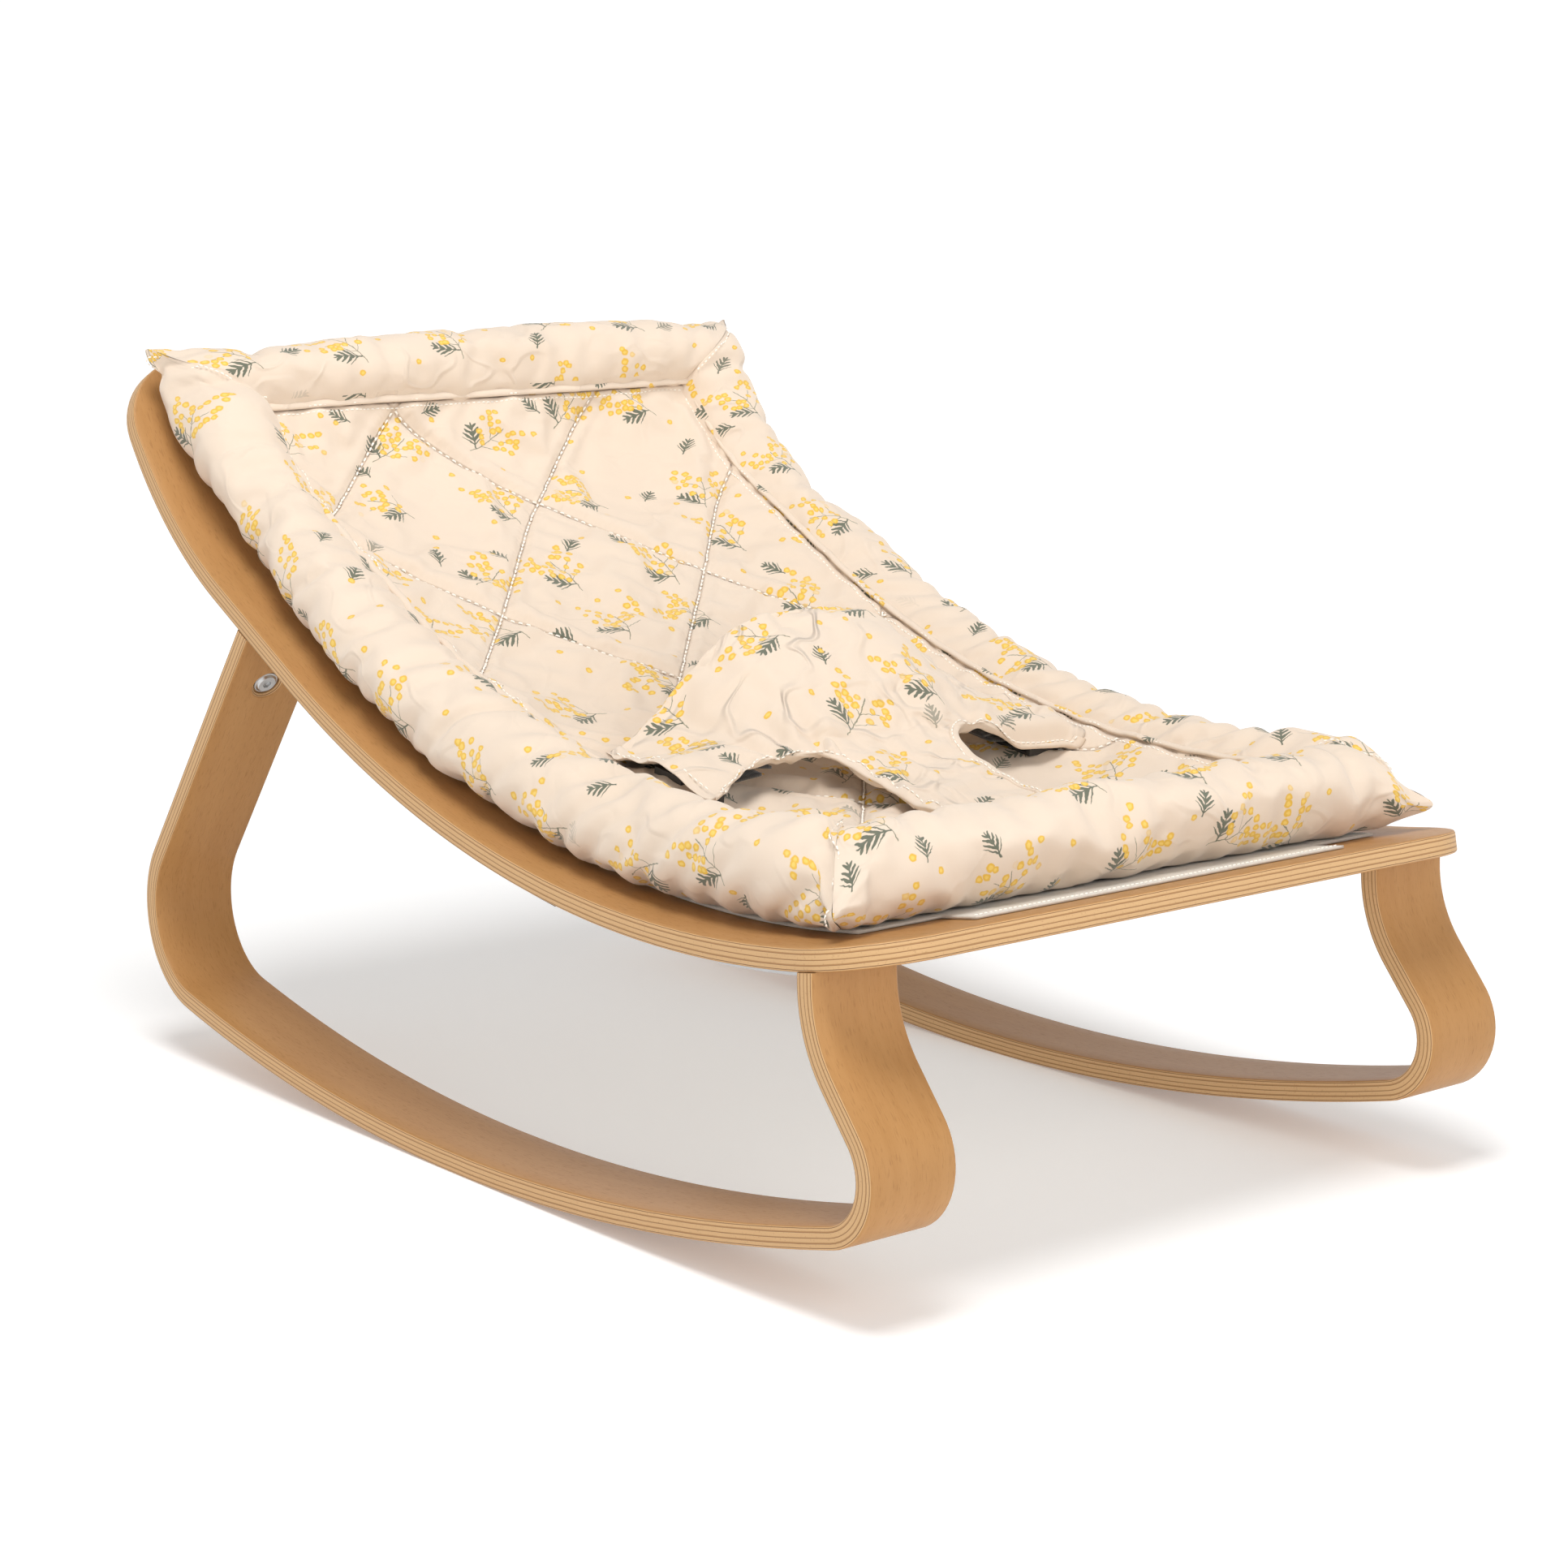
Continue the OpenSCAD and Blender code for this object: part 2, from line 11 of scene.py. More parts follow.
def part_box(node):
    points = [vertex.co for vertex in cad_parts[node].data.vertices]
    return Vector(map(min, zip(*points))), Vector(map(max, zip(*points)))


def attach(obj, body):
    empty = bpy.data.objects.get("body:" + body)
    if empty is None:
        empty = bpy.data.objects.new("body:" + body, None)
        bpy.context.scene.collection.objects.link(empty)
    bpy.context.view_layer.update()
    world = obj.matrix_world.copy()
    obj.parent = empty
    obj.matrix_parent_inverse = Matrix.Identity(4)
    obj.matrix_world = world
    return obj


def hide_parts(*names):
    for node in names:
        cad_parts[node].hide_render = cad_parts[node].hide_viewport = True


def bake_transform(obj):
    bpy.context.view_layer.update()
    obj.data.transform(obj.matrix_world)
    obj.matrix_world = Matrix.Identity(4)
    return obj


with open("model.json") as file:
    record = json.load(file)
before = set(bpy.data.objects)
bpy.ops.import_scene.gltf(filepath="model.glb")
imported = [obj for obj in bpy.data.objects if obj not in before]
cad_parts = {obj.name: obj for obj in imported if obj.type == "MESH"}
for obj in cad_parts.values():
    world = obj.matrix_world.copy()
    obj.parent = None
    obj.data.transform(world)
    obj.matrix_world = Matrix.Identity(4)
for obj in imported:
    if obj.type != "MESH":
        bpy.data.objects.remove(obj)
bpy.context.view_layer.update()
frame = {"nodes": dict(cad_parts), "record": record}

MM = 0.001
rad = math.radians

# ---- sizes of the part, the same as the CAD's ----
PLY_T = 11 * MM
RAIL_W = 50 * MM
HALF_W = 210 * MM
INNER_X = HALF_W - RAIL_W
LEG_X = HALF_W - RAIL_W / 2
CORNER_R = 45 * MM
OPENING_R = 30 * MM
ARRIS = 1.4 * MM
FOOT_Z = 166 * MM
# side profiles as stretches: (length in metres, turn in degrees)
SEAT_STRETCHES = [(0.7 * rad(40), 40), (0.08, 0), (0.24 * rad(38), 38), (0.008, 0)]
ROCKER_R = 1.2
FACET = 24 * MM
FACET_TURN = 2 * math.degrees(math.asin(FACET / 2 / ROCKER_R))
FRONT_LEAN = 130
REAR_LEAN = 126.6
FRONT_BEND = FRONT_LEAN - 12.5 * FACET_TURN
REAR_BEND = REAR_LEAN - 11.5 * FACET_TURN
FRONT_STRETCHES = [(ROCKER_R * rad(12 * FACET_TURN), 12 * FACET_TURN),
                   (0.035 * rad(FRONT_BEND), FRONT_BEND), (0.027, 0),
                   (0.062 * rad(FRONT_LEAN - 90), 90 - FRONT_LEAN), (0.02, 0)]
REAR_STRETCHES = [(ROCKER_R * rad(11 * FACET_TURN), 11 * FACET_TURN),
                  (0.056 * rad(REAR_BEND), REAR_BEND), (0.185, 0)]
REAR_BOLT_S = 511.5 * MM
BOLT_HOLE_R = 8 * MM
BOLT_HOLE_DEPTH = 3.5 * MM
BOLT_HOLE_BEVEL = 1.6 * MM

# ---- the cushion's layout, in seat coordinates: x across, s along, h above the underside ----
REST_H = 13.3 * MM
SEAM_X = 150 * MM
FOOT_SEAM = 77 * MM
HEAD_SEAM = 679 * MM
SIDE_X = 170.5 * MM
FOOT_S = 57 * MM
HEAD_S = 704 * MM
MIDDLE_S = 400 * MM
ROLL_R = 24.3 * MM
HEAD_ROLL_R = 26.8 * MM
SEAM_ANGLE = rad(144)
PANEL_H = 37 * MM
STRAP_S = 252 * MM
BUCKLE_X = 117 * MM
BUCKLE_FLOOR = 38.2 * MM
QUILT_SLOPE = 1.2
ROOT_H, ROOT_START, ROOT_END = 38.7 * MM, 107 * MM, 130 * MM
SIDES = ((-1, "left"), (1, "right"))
# the quilting: which way a line leans, and where it crosses the middle, in mm
QUILT_LINES = [(1, 418), (1, 582), (1, 750), (1, 250), (-1, 385), (-1, 596), (-1, 174)]


# ---------------------------------------------------------------- geometry helpers

class Path:
    """A side profile of straights and bends. Points and headings come from the distance s."""

    def __init__(self, y, z, heading, stretches):
        self.parts = []
        start, a = 0.0, rad(heading)
        for length, turn in stretches:
            bend = rad(turn) / length
            self.parts.append((start, y, z, a, bend))
            y, z, a = self._run(y, z, a, bend, np.float64(length))
            start += length
        self.length = start

    @staticmethod
    def _run(y, z, a, bend, d):
        if bend == 0:
            return y + d * math.cos(a), z + d * math.sin(a), a + 0 * d
        b = a + bend * d
        return (y + (np.sin(b) - math.sin(a)) / bend,
                z - (np.cos(b) - math.cos(a)) / bend, b)

    def at(self, s):
        s = np.asarray(s, float)
        out = np.zeros((3,) + s.shape)
        for i, (start, y, z, a, bend) in enumerate(self.parts):
            here = s >= start if i else s > -9
            out[:, here] = self._run(y, z, a, bend, s[here] - start)
        return out

    def beside(self, s, h):
        y, z, a = self.at(s)
        return y - h * np.sin(a), z + h * np.cos(a)


SEAT = Path(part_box("seat_frame")[0].y, FOOT_Z, -12, SEAT_STRETCHES)
SEAT_S = SEAT.length


def on_seat(x, s, h):
    """Points in the shared frame from seat coordinates."""
    x, s, h = np.broadcast_arrays(np.asarray(x, float), s, h)
    y, z = SEAT.beside(s, h)
    return np.stack([x, y, z], -1)


def off_seat(points, s):
    """Seat coordinates of points, from a first guess of s."""
    s = np.array(s, float)
    for _ in range(8):
        y, z, a = SEAT.at(s)
        dy, dz = points[..., 1] - y, points[..., 2] - z
        s = s + 0.9 * (dy * np.cos(a) + dz * np.sin(a))
    return points[..., 0], s, -dy * np.sin(a) + dz * np.cos(a)


def unit(vectors):
    return vectors / np.linalg.norm(vectors, axis=1)[:, None]


def run_of(line):
    """The distance along a polyline at each of its points."""
    return np.concatenate([[0], np.cumsum(np.linalg.norm(np.diff(line, axis=0), axis=1))])


def at_marks(values, run, marks):
    """Values given along a polyline, at other distances along it."""
    return np.stack([np.interp(marks, run, column) for column in values.T], 1)


@contextmanager
def editing(obj):
    """An object's mesh as a bmesh, written back at the end."""
    bm = bmesh.new()
    bm.from_mesh(obj.data)
    yield bm
    bm.to_mesh(obj.data)
    bm.free()


def new_object(name, data):
    obj = bpy.data.objects.new(name, data)
    bpy.context.scene.collection.objects.link(obj)
    return obj


def new_mesh(name, points, faces, corner_uv=None):
    mesh = bpy.data.meshes.new(name)
    mesh.from_pydata(np.reshape(points, (-1, 3)).tolist(), [], faces)
    if corner_uv is not None:
        layer = mesh.uv_layers.new(name="UVMap")
        layer.data.foreach_set("uv", np.asarray(corner_uv, np.float32).ravel())
    mesh.validate()
    return new_object(name, mesh)


def grid_faces(rows, cols, around):
    """Faces of a grid, and for each corner its row and column, where column cols is column 0."""
    i, j = np.meshgrid(np.arange(rows - 1), np.arange(cols if around else cols - 1), indexing="ij")
    i, j = i.ravel(), j.ravel()
    ri = np.stack([i, i, i + 1, i + 1], 1)
    cj = np.stack([j, j + 1, j + 1, j], 1)
    faces = (ri * cols + cj % cols).tolist()
    return faces, ri, cj


def grid_object(name, points, u, v, around=False):
    """A cloth grid. u and v are in metres; where it closes around, they have one more column."""
    rows, cols = points.shape[:2]
    faces, ri, cj = grid_faces(rows, cols, around)
    return new_mesh(name, points, faces, np.stack([u[ri, cj], v[ri, cj]], -1))


def smooth(obj, angle=None):
    mesh = obj.data
    mesh.shade_smooth()
    if angle is not None:
        mesh.set_sharp_from_angle(angle=rad(angle))
    return obj


def outward(obj):
    with editing(obj) as bm:
        bmesh.ops.recalc_face_normals(bm, faces=bm.faces)
    return obj


def subdivided(obj):
    finer = obj.modifiers.new("finer", "SUBSURF")
    finer.levels = finer.render_levels = 1
    return obj


def co_of(obj):
    co = np.zeros(len(obj.data.vertices) * 3)
    obj.data.vertices.foreach_get("co", co)
    return co.reshape(-1, 3)


def set_co(obj, co):
    obj.data.vertices.foreach_set("co", np.asarray(co, float).ravel())
    obj.data.update()


def set_vectors(obj, name, values):
    layer = obj.data.attributes.get(name) or obj.data.attributes.new(name, "FLOAT_VECTOR", "POINT")
    layer.data.foreach_set("vector", np.asarray(values, np.float32).ravel())


def ease(x):
    x = np.clip(x, 0, 1)
    return x * x * (3 - 2 * x)


def bump(x, width):
    return np.exp(-(x / width) ** 2)


def waves(seed, count, shortest, longest):
    """Sums of random sine waves in two directions, about -1 to 1."""
    draw = np.random.default_rng(seed)
    angle = draw.uniform(0, math.pi, count)
    length = draw.uniform(shortest, longest, count)
    phase = draw.uniform(0, 2 * math.pi, count)

    def value(a, b):
        total = 0 * a
        for k in range(count):
            along = a * math.cos(angle[k]) + b * math.sin(angle[k])
            total = total + np.sin(2 * math.pi * along / length[k] + phase[k])
        return total / math.sqrt(count)
    return value


# ---------------------------------------------------------------- materials

class Graph:
    """Builds a node tree: a value given to an input is either a socket to link or a number."""

    def __init__(self, tree):
        self.tree = tree

    def put(self, socket, value):
        if isinstance(value, bpy.types.NodeSocket):
            self.tree.links.new(value, socket)
        else:
            socket.default_value = value

    def node(self, kind, inputs=(), **settings):
        made = self.tree.nodes.new("ShaderNode" + kind)
        for key, value in settings.items():
            setattr(made, key, value)
        for key, value in dict(inputs).items():
            self.put(made.inputs[key], value)
        return made

    def math(self, operation, a, b=0.0):
        return self.node("Math", {0: a, 1: b}, operation=operation).outputs[0]

    def add(self, a, b):
        return self.math("ADD", a, b)

    def sub(self, a, b):
        return self.math("SUBTRACT", a, b)

    def mul(self, a, b):
        return self.math("MULTIPLY", a, b)

    def div(self, a, b):
        return self.math("DIVIDE", a, b)

    def size(self, a):
        return self.math("ABSOLUTE", a)

    def sine(self, a):
        return self.math("SINE", a)

    def other(self, mask):
        """1 where a mask is 0."""
        return self.math("SUBTRACT", 1.0, mask)

    def vec(self, operation, a, b=(0, 0, 0)):
        made = self.node("VectorMath", {0: a}, operation=operation)
        if operation == "SCALE":
            self.put(made.inputs["Scale"], b)
        else:
            self.put(made.inputs[1], b)
        return made.outputs["Value" if operation in ("LENGTH", "DISTANCE") else 0]

    def xyz(self, x, y, z=0.0):
        return self.node("CombineXYZ", {0: x, 1: y, 2: z}).outputs[0]

    def split(self, vector):
        return self.node("SeparateXYZ", {0: vector}).outputs

    def below(self, value, limit, soft):
        """1 where value is under limit, 0 above, over a soft edge."""
        made = self.node("MapRange", {0: value, 3: 1.0, 4: 0.0}, interpolation_type="SMOOTHSTEP")
        self.put(made.inputs[1], self.sub(limit, soft))
        self.put(made.inputs[2], self.add(limit, soft))
        return made.outputs[0]

    def above(self, value, limit, soft):
        return self.other(self.below(value, limit, soft))

    def both(self, *masks):
        total = masks[0]
        for mask in masks[1:]:
            total = self.mul(total, mask)
        return total

    def either(self, *masks):
        total = masks[0]
        for mask in masks[1:]:
            total = self.math("MAXIMUM", total, mask)
        return total

    def mix(self, factor, a, b):
        made = self.node("Mix", data_type="RGBA")
        self.put(made.inputs[0], factor)
        self.put(made.inputs[6], a)
        self.put(made.inputs[7], b)
        return made.outputs[2]

    def noise(self, vector, scale, detail=2.0, rough=0.5):
        return self.node("TexNoise", {"Vector": vector, "Scale": scale, "Detail": detail,
                                      "Roughness": rough}).outputs[0]

    def cloth(self):
        """The cloth's own coordinates, in metres."""
        return self.node("UVMap", uv_map="UVMap").outputs[0]

    def turned(self, vector, angle):
        return self.node("VectorRotate", {"Vector": vector, "Angle": angle},
                         rotation_type="Z_AXIS").outputs[0]

    def shaken(self, vector, scale, reach):
        """Points moved about by a noise, so that a pattern's lines aren't quite straight."""
        shake = self.node("TexNoise", {"Vector": vector, "Scale": scale, "Detail": 1.0})
        off = self.vec("SUBTRACT", shake.outputs["Color"], (0.5, 0.5, 0.5))
        return self.vec("ADD", vector, self.vec("SCALE", off, reach))

    def ramp(self, value, stops):
        made = self.node("ValToRGB", {0: value})
        ramp = made.color_ramp
        while len(ramp.elements) < len(stops):
            ramp.elements.new(0.5)
        for element, (place, colour) in zip(ramp.elements, stops):
            element.position = place
            element.color = colour
        return made.outputs[0]

    def bump(self, height, strength, distance, over=None):
        """A relief, on the plain surface or over another relief."""
        made = self.node("Bump", {"Height": height, "Strength": strength, "Distance": distance})
        if over is not None:
            self.put(made.inputs["Normal"], over)
        return made.outputs[0]


def srgb(r, g, b):
    def lin(c):
        c /= 255
        return c / 12.92 if c <= 0.04045 else ((c + 0.055) / 1.055) ** 2.4
    return (lin(r), lin(g), lin(b), 1.0)


def grey(level):
    return (level, level, level, 1.0)


def material(name, **shader):
    made = bpy.data.materials.new(name)
    made.use_nodes = True
    surface = made.node_tree.nodes["Principled BSDF"]
    for key, value in shader.items():
        surface.inputs[key.replace("_", " ")].default_value = value
    return made, Graph(made.node_tree), surface.inputs


def wood_material():
    """Lacquered beech plywood, solid through its thickness, from the board's own coordinates."""
    made, g, out = material("beech_plywood", IOR=1.45, Coat_Weight=0.05, Coat_Roughness=0.3)
    out["Specular IOR Level"].default_value = 0.22
    board = g.node("Attribute", attribute_name="board").outputs["Vector"]
    across, along, depth = g.split(board)

    def stretched(wide, long, deep):
        """The board's coordinates, scaled so that a noise gets this size."""
        return g.xyz(g.mul(across, 1 / wide), g.mul(along, 1 / long), g.mul(depth, 1 / deep))

    figure = g.noise(stretched(0.006, 0.09, 0.006), 1.0, 4.0, 0.6)
    flecks = g.noise(stretched(0.0007, 0.006, 0.0009), 1.0, 2.0, 0.5)
    fleck = g.ramp(flecks, [(0.56, grey(0)), (0.70, grey(1))])
    broad = g.noise(board, 9.0, 2.0, 0.5)
    veneer = g.mix(figure, srgb(168, 122, 72), srgb(187, 142, 90))
    veneer = g.mix(g.mul(broad, 0.35), veneer, srgb(166, 116, 70))
    veneer = g.mix(g.mul(fleck, 0.3), veneer, srgb(128, 86, 50))
    # the edge: light plies between darker glue lines
    wobble = g.mul(g.sub(g.noise(board, 60.0, 2.0), 0.5), 0.035)
    level = g.add(g.div(depth, PLY_T), wobble)
    light, cross, glue = srgb(206, 168, 122), srgb(168, 128, 86), srgb(112, 80, 52)
    stops = [(0.0, light), (0.075, light), (0.085, glue), (0.105, glue), (0.118, light),
             (0.255, light), (0.268, glue), (0.288, cross), (0.325, cross), (0.338, light),
             (0.485, light), (0.497, glue), (0.520, cross), (0.548, light), (0.715, light),
             (0.727, glue), (0.745, cross), (0.785, cross), (0.797, light), (0.895, light),
             (0.905, glue), (0.922, glue), (0.932, light)]
    plies = g.ramp(level, stops)
    pores = g.noise(g.vec("SCALE", board, 1 / 0.0011), 1.0, 2.0)
    speckle = g.ramp(pores, [(0.60, grey(0)), (0.72, grey(1))])
    plies = g.mix(g.mul(speckle, 0.3), plies, srgb(140, 98, 60))
    streak = g.noise(g.xyz(g.mul(along, 1 / 0.03), g.mul(depth, 1 / 0.0008)), 1.0, 3.0)
    plies = g.mix(g.mul(streak, 0.22), plies, srgb(172, 126, 80))
    middle = g.size(g.sub(g.div(depth, PLY_T), 0.5))
    edge = g.below(middle, 0.457, 0.006)
    g.put(out["Base Color"], g.mix(edge, veneer, plies))
    rough = g.mix(edge, grey(0.42), grey(0.55))
    rough = g.mix(g.mul(fleck, 0.4), rough, grey(0.6))
    g.put(out["Roughness"], rough)
    height = g.add(g.mul(figure, 0.5), g.mul(fleck, -0.6))
    g.put(out["Normal"], g.bump(height, 0.12, 0.0003))
    return made


def new_group(name, takes, gives):
    """A node group with these inputs and outputs: its tree, its graph, and both ends' sockets."""
    tree = bpy.data.node_groups.new(name, "ShaderNodeTree")
    for way, sockets in (("INPUT", takes), ("OUTPUT", gives)):
        for socket, kind in sockets.items():
            tree.interface.new_socket(socket, in_out=way, socket_type="NodeSocket" + kind)
    return (tree, Graph(tree), tree.nodes.new("NodeGroupInput").outputs,
            tree.nodes.new("NodeGroupOutput").inputs)


def motif_group():
    """From a cloth point, the nearest motif's own coordinates in mm, its draw, and its centre."""
    tree, g, given, gives = new_group(
        "nearest_motif", {"Point": "Vector", "Cell": "Float", "Jitter": "Float", "Turn": "Float"},
        {"Local": "Vector", "Draw": "Vector", "Centre": "Vector"})
    shrunk = g.vec("SCALE", given["Point"], g.div(1.0, given["Cell"]))
    cells = g.node("TexVoronoi", {"Vector": shrunk, "Scale": 1.0, "Randomness": given["Jitter"]},
                   voronoi_dimensions="2D").outputs
    centre = g.vec("SCALE", cells["Position"], given["Cell"])
    draw = g.node("SeparateColor", {0: cells["Color"]}).outputs
    local = g.turned(g.vec("SUBTRACT", given["Point"], centre),
                     g.mul(g.sub(draw[0], 0.5), given["Turn"]))
    g.put(gives["Local"], local)
    g.put(gives["Draw"], cells["Color"])
    g.put(gives["Centre"], centre)
    return tree


LEAFLETS = 4.6


def leaf_mask(g, local, length, width):
    """A feathered leaf: a midrib with slanted leaflets that taper to the tip."""
    x, y, _ = g.split(local)
    side = g.size(x)
    place = g.div(y, length)
    within = g.both(g.below(place, 0.98, 0.03), g.above(place, 0.0, 0.02))
    rib = g.both(g.below(side, 0.45, 0.18), within)
    slant = g.sub(y, g.mul(side, 1.05))
    spacing = length / LEAFLETS
    tooth = g.size(g.sub(g.math("FRACT", g.div(slant, spacing)), 0.5))
    slant_place = g.div(slant, length)
    belly = g.mul(g.sub(1.25, slant_place), width)
    spare = g.div(g.sub(belly, side), belly)
    taper = g.math("POWER", g.math("MAXIMUM", spare, 0.0), 0.35)
    leaflet = g.below(tooth, g.mul(taper, 0.38), 0.06)
    reach = g.below(side, belly, 0.2)
    span = g.both(g.above(slant_place, 0.12, 0.02), g.below(slant_place, 0.86, 0.02))
    return g.either(rib, g.both(leaflet, reach, span))


COTTON_DARK, COTTON_LIGHT = srgb(219, 201, 182), srgb(224, 207, 189)
# the second colour on the next line is a painted shade, laid into the sewn quilting channels
COTTON_SLUB, CHANNEL_PAINTED_SHADE = srgb(214, 190, 160), srgb(176, 142, 108)
PETAL_EDGE, PETAL_HEART = srgb(222, 176, 50), srgb(233, 198, 92)
LEAF_DARK, LEAF_LIGHT, STEM = srgb(54, 70, 58), srgb(84, 98, 82), srgb(100, 106, 84)
BRANCH_GAP = 8.5
PLUME_CELL, DOT_CELL, LONE_CELL, SPRIG_CELL = 66.0, 4.5, 25.0, 43.0


def print_group(nearest):
    """The cotton's print from cloth coordinates in metres: blossom plumes, leaf sprigs, dots."""
    tree, g, given, gives = new_group("sprig_print", {"Cloth": "Vector"}, {"Color": "Color"})
    cloth = given["Cloth"]
    point = g.shaken(g.vec("SCALE", cloth, 1000.0), 0.35, 1.6)

    def motif(at, cell, jitter, turn, shift):
        made = g.node("Group", node_tree=nearest)
        for key, value in (("Point", g.vec("ADD", at, shift)), ("Cell", cell),
                           ("Jitter", jitter), ("Turn", turn)):
            g.put(made.inputs[key], value)
        centre = g.vec("SUBTRACT", made.outputs["Centre"], shift)
        return made.outputs["Local"], g.split(made.outputs["Draw"]), centre

    def plume(at):
        return motif(at, PLUME_CELL, 0.42, rad(120), (31.0, 17.0, 0.0))

    def branches(local):
        """How far a point is from the plume's branch lines, and where along the plume it is."""
        x, y, _ = g.split(local)
        bowed = g.add(x, g.mul(g.mul(y, y), 0.006))
        side = g.size(bowed)
        slant = g.sub(g.add(y, 13.0), g.mul(side, 0.8))
        tooth = g.size(g.sub(g.math("FRACT", g.div(slant, BRANCH_GAP)), 0.5))
        return side, slant, g.mul(tooth, BRANCH_GAP), y

    def flower(local, r):
        """A round blossom's mask and its colours."""
        ring = g.div(g.vec("LENGTH", local), r)
        return g.below(ring, 0.9, 0.14), g.mix(g.below(ring, 0.45, 0.16), PETAL_EDGE, PETAL_HEART)

    # stems
    local, _, _ = plume(point)
    side, slant, off_branch, y = branches(local)
    stem = g.both(g.below(side, 0.28, 0.18), g.below(y, 11.0, 0.5), g.above(y, -19.0, 0.3))
    twig = g.both(g.below(off_branch, 0.24, 0.18), g.below(side, 10.0, 0.5),
                  g.below(slant, 19.0, 0.5), g.above(slant, 0.5, 0.3))
    lines = g.either(stem, twig)
    # leaf at the plume's foot
    leaf = leaf_mask(g, g.turned(g.vec("ADD", local, (1.0, 13.0, 0.0)), rad(-58)), 19.5, 6.4)
    # blossoms: small round dots whose middles lie near the branches
    dot_local, dot_draw, dot_centre = motif(point, DOT_CELL, 0.5, 0.0, (3.0, 5.0, 0.0))
    at_dot, _, _ = plume(dot_centre)
    side, slant, off_branch, y = branches(at_dot)
    kept = g.both(g.below(off_branch, 2.9, 0.1), g.below(side, 17.5, 0.1),
                  g.below(slant, 25.0, 0.1), g.above(slant, 3.0, 0.1),
                  g.above(side, 1.4, 0.1), g.below(dot_draw[1], 0.9, 0.01))
    blossom, petal = flower(dot_local, g.add(2.0, g.mul(dot_draw[2], 0.6)))
    # lone dots and small sprigs between the plumes
    lone_local, lone_draw, lone_centre = motif(point, LONE_CELL, 0.8, 0.0, (7.0, 11.0, 0.0))
    near_lone, _, _ = plume(lone_centre)
    lone, lone_petal = flower(lone_local, 2.1)
    lone = g.both(lone, g.below(lone_draw[1], 0.5, 0.01),
                  g.above(g.vec("LENGTH", near_lone), 22.0, 0.5))
    sprig_local, sprig_draw, sprig_centre = motif(point, SPRIG_CELL, 0.5, rad(150),
                                                  (19.0, 23.0, 0.0))
    near_sprig, _, _ = plume(sprig_centre)
    sprig = g.both(leaf_mask(g, g.vec("ADD", sprig_local, (0.0, 7.0, 0.0)), 15.0, 5.4),
                   g.below(sprig_draw[1], 0.62, 0.01),
                   g.above(g.vec("LENGTH", near_sprig), 27.0, 0.5))
    # colours
    ground = g.mix(g.noise(cloth, 6.0, 2.0), COTTON_DARK, COTTON_LIGHT)
    green = g.mix(g.noise(point, 0.25, 2.0), LEAF_DARK, LEAF_LIGHT)
    colour = g.mix(g.mul(lines, 0.85), ground, STEM)
    colour = g.mix(g.mul(g.either(leaf, sprig), 0.92), colour, green)
    colour = g.mix(g.mul(g.both(blossom, kept), 0.95), colour, petal)
    colour = g.mix(g.mul(lone, 0.95), colour, lone_petal)
    g.put(gives["Color"], colour)
    return tree


def weave_height(g, cloth, thread):
    """A plain weave's height from cloth coordinates."""
    x, y, _ = g.split(g.vec("SCALE", cloth, math.pi / thread))
    return g.size(g.mul(g.sine(x), g.sine(y)))


def quilting(g, cloth):
    """Masks from the panel's cloth coordinates: the sewn channels, which get a painted shade and a
    sunken groove, and the puckers beside them.
    """
    x, s, _ = g.split(g.vec("SCALE", cloth, 1000.0))
    length = math.hypot(1, QUILT_SLOPE)
    channel, pucker = 0.0, 0.0
    for sign, c in QUILT_LINES:
        slant = g.sub(g.sub(s, float(c)), g.mul(x, sign * QUILT_SLOPE))
        off = g.div(g.size(slant), length)
        run = g.add(g.mul(s, sign * QUILT_SLOPE), x)
        wave = g.noise(g.xyz(run, g.mul(off, 0.8), float(c)), 0.11, 1.0)
        channel = g.math("MAXIMUM", channel, g.below(off, 0.9, 0.9))
        pucker = g.math("MAXIMUM", pucker, g.mul(wave, g.below(off, 6.0, 5.0)))
    return channel, pucker


def crumple(g, cloth):
    """Sharp, sparse folds: the ridges of a noise that is itself bent by a broader one."""
    off = g.size(g.sub(g.noise(g.shaken(cloth, 22.0, 0.05), 26.0, 1.0), 0.5))
    ridge = g.below(off, 0.03, 0.03)
    return g.mul(ridge, g.below(g.noise(cloth, 17.0, 1.0), 0.5, 0.12))


def print_material(pattern, name, creases, quilted=False):
    made, g, out = material(name, Roughness=0.85, Sheen_Weight=0.25, Sheen_Roughness=0.5, IOR=1.4)
    out["Specular IOR Level"].default_value = 0.25
    cloth = g.cloth()
    made_print = g.node("Group", node_tree=pattern)
    g.put(made_print.inputs[0], cloth)
    weave = weave_height(g, cloth, 0.0004)
    slub = g.noise(cloth, 420.0, 3.0)
    toned = g.mix(g.mul(slub, 0.10), made_print.outputs[0], COTTON_SLUB)
    height = g.add(g.mul(weave, 0.4), slub)
    normal = g.bump(height, 0.25, 0.0002)
    normal = g.bump(crumple(g, cloth), creases, 0.002, over=normal)
    if quilted:
        channel, pucker = quilting(g, cloth)
        # painted shade: the cotton is darkened along the sewn channels, as if shadowed in the
        # groove
        toned = g.mix(g.mul(channel, 0.32), toned, CHANNEL_PAINTED_SHADE)
        relief = g.sub(g.mul(pucker, 1.4), channel)
        normal = g.bump(relief, 0.9, 0.0012, over=normal)
    g.put(out["Base Color"], toned)
    g.put(out["Normal"], normal)
    return made


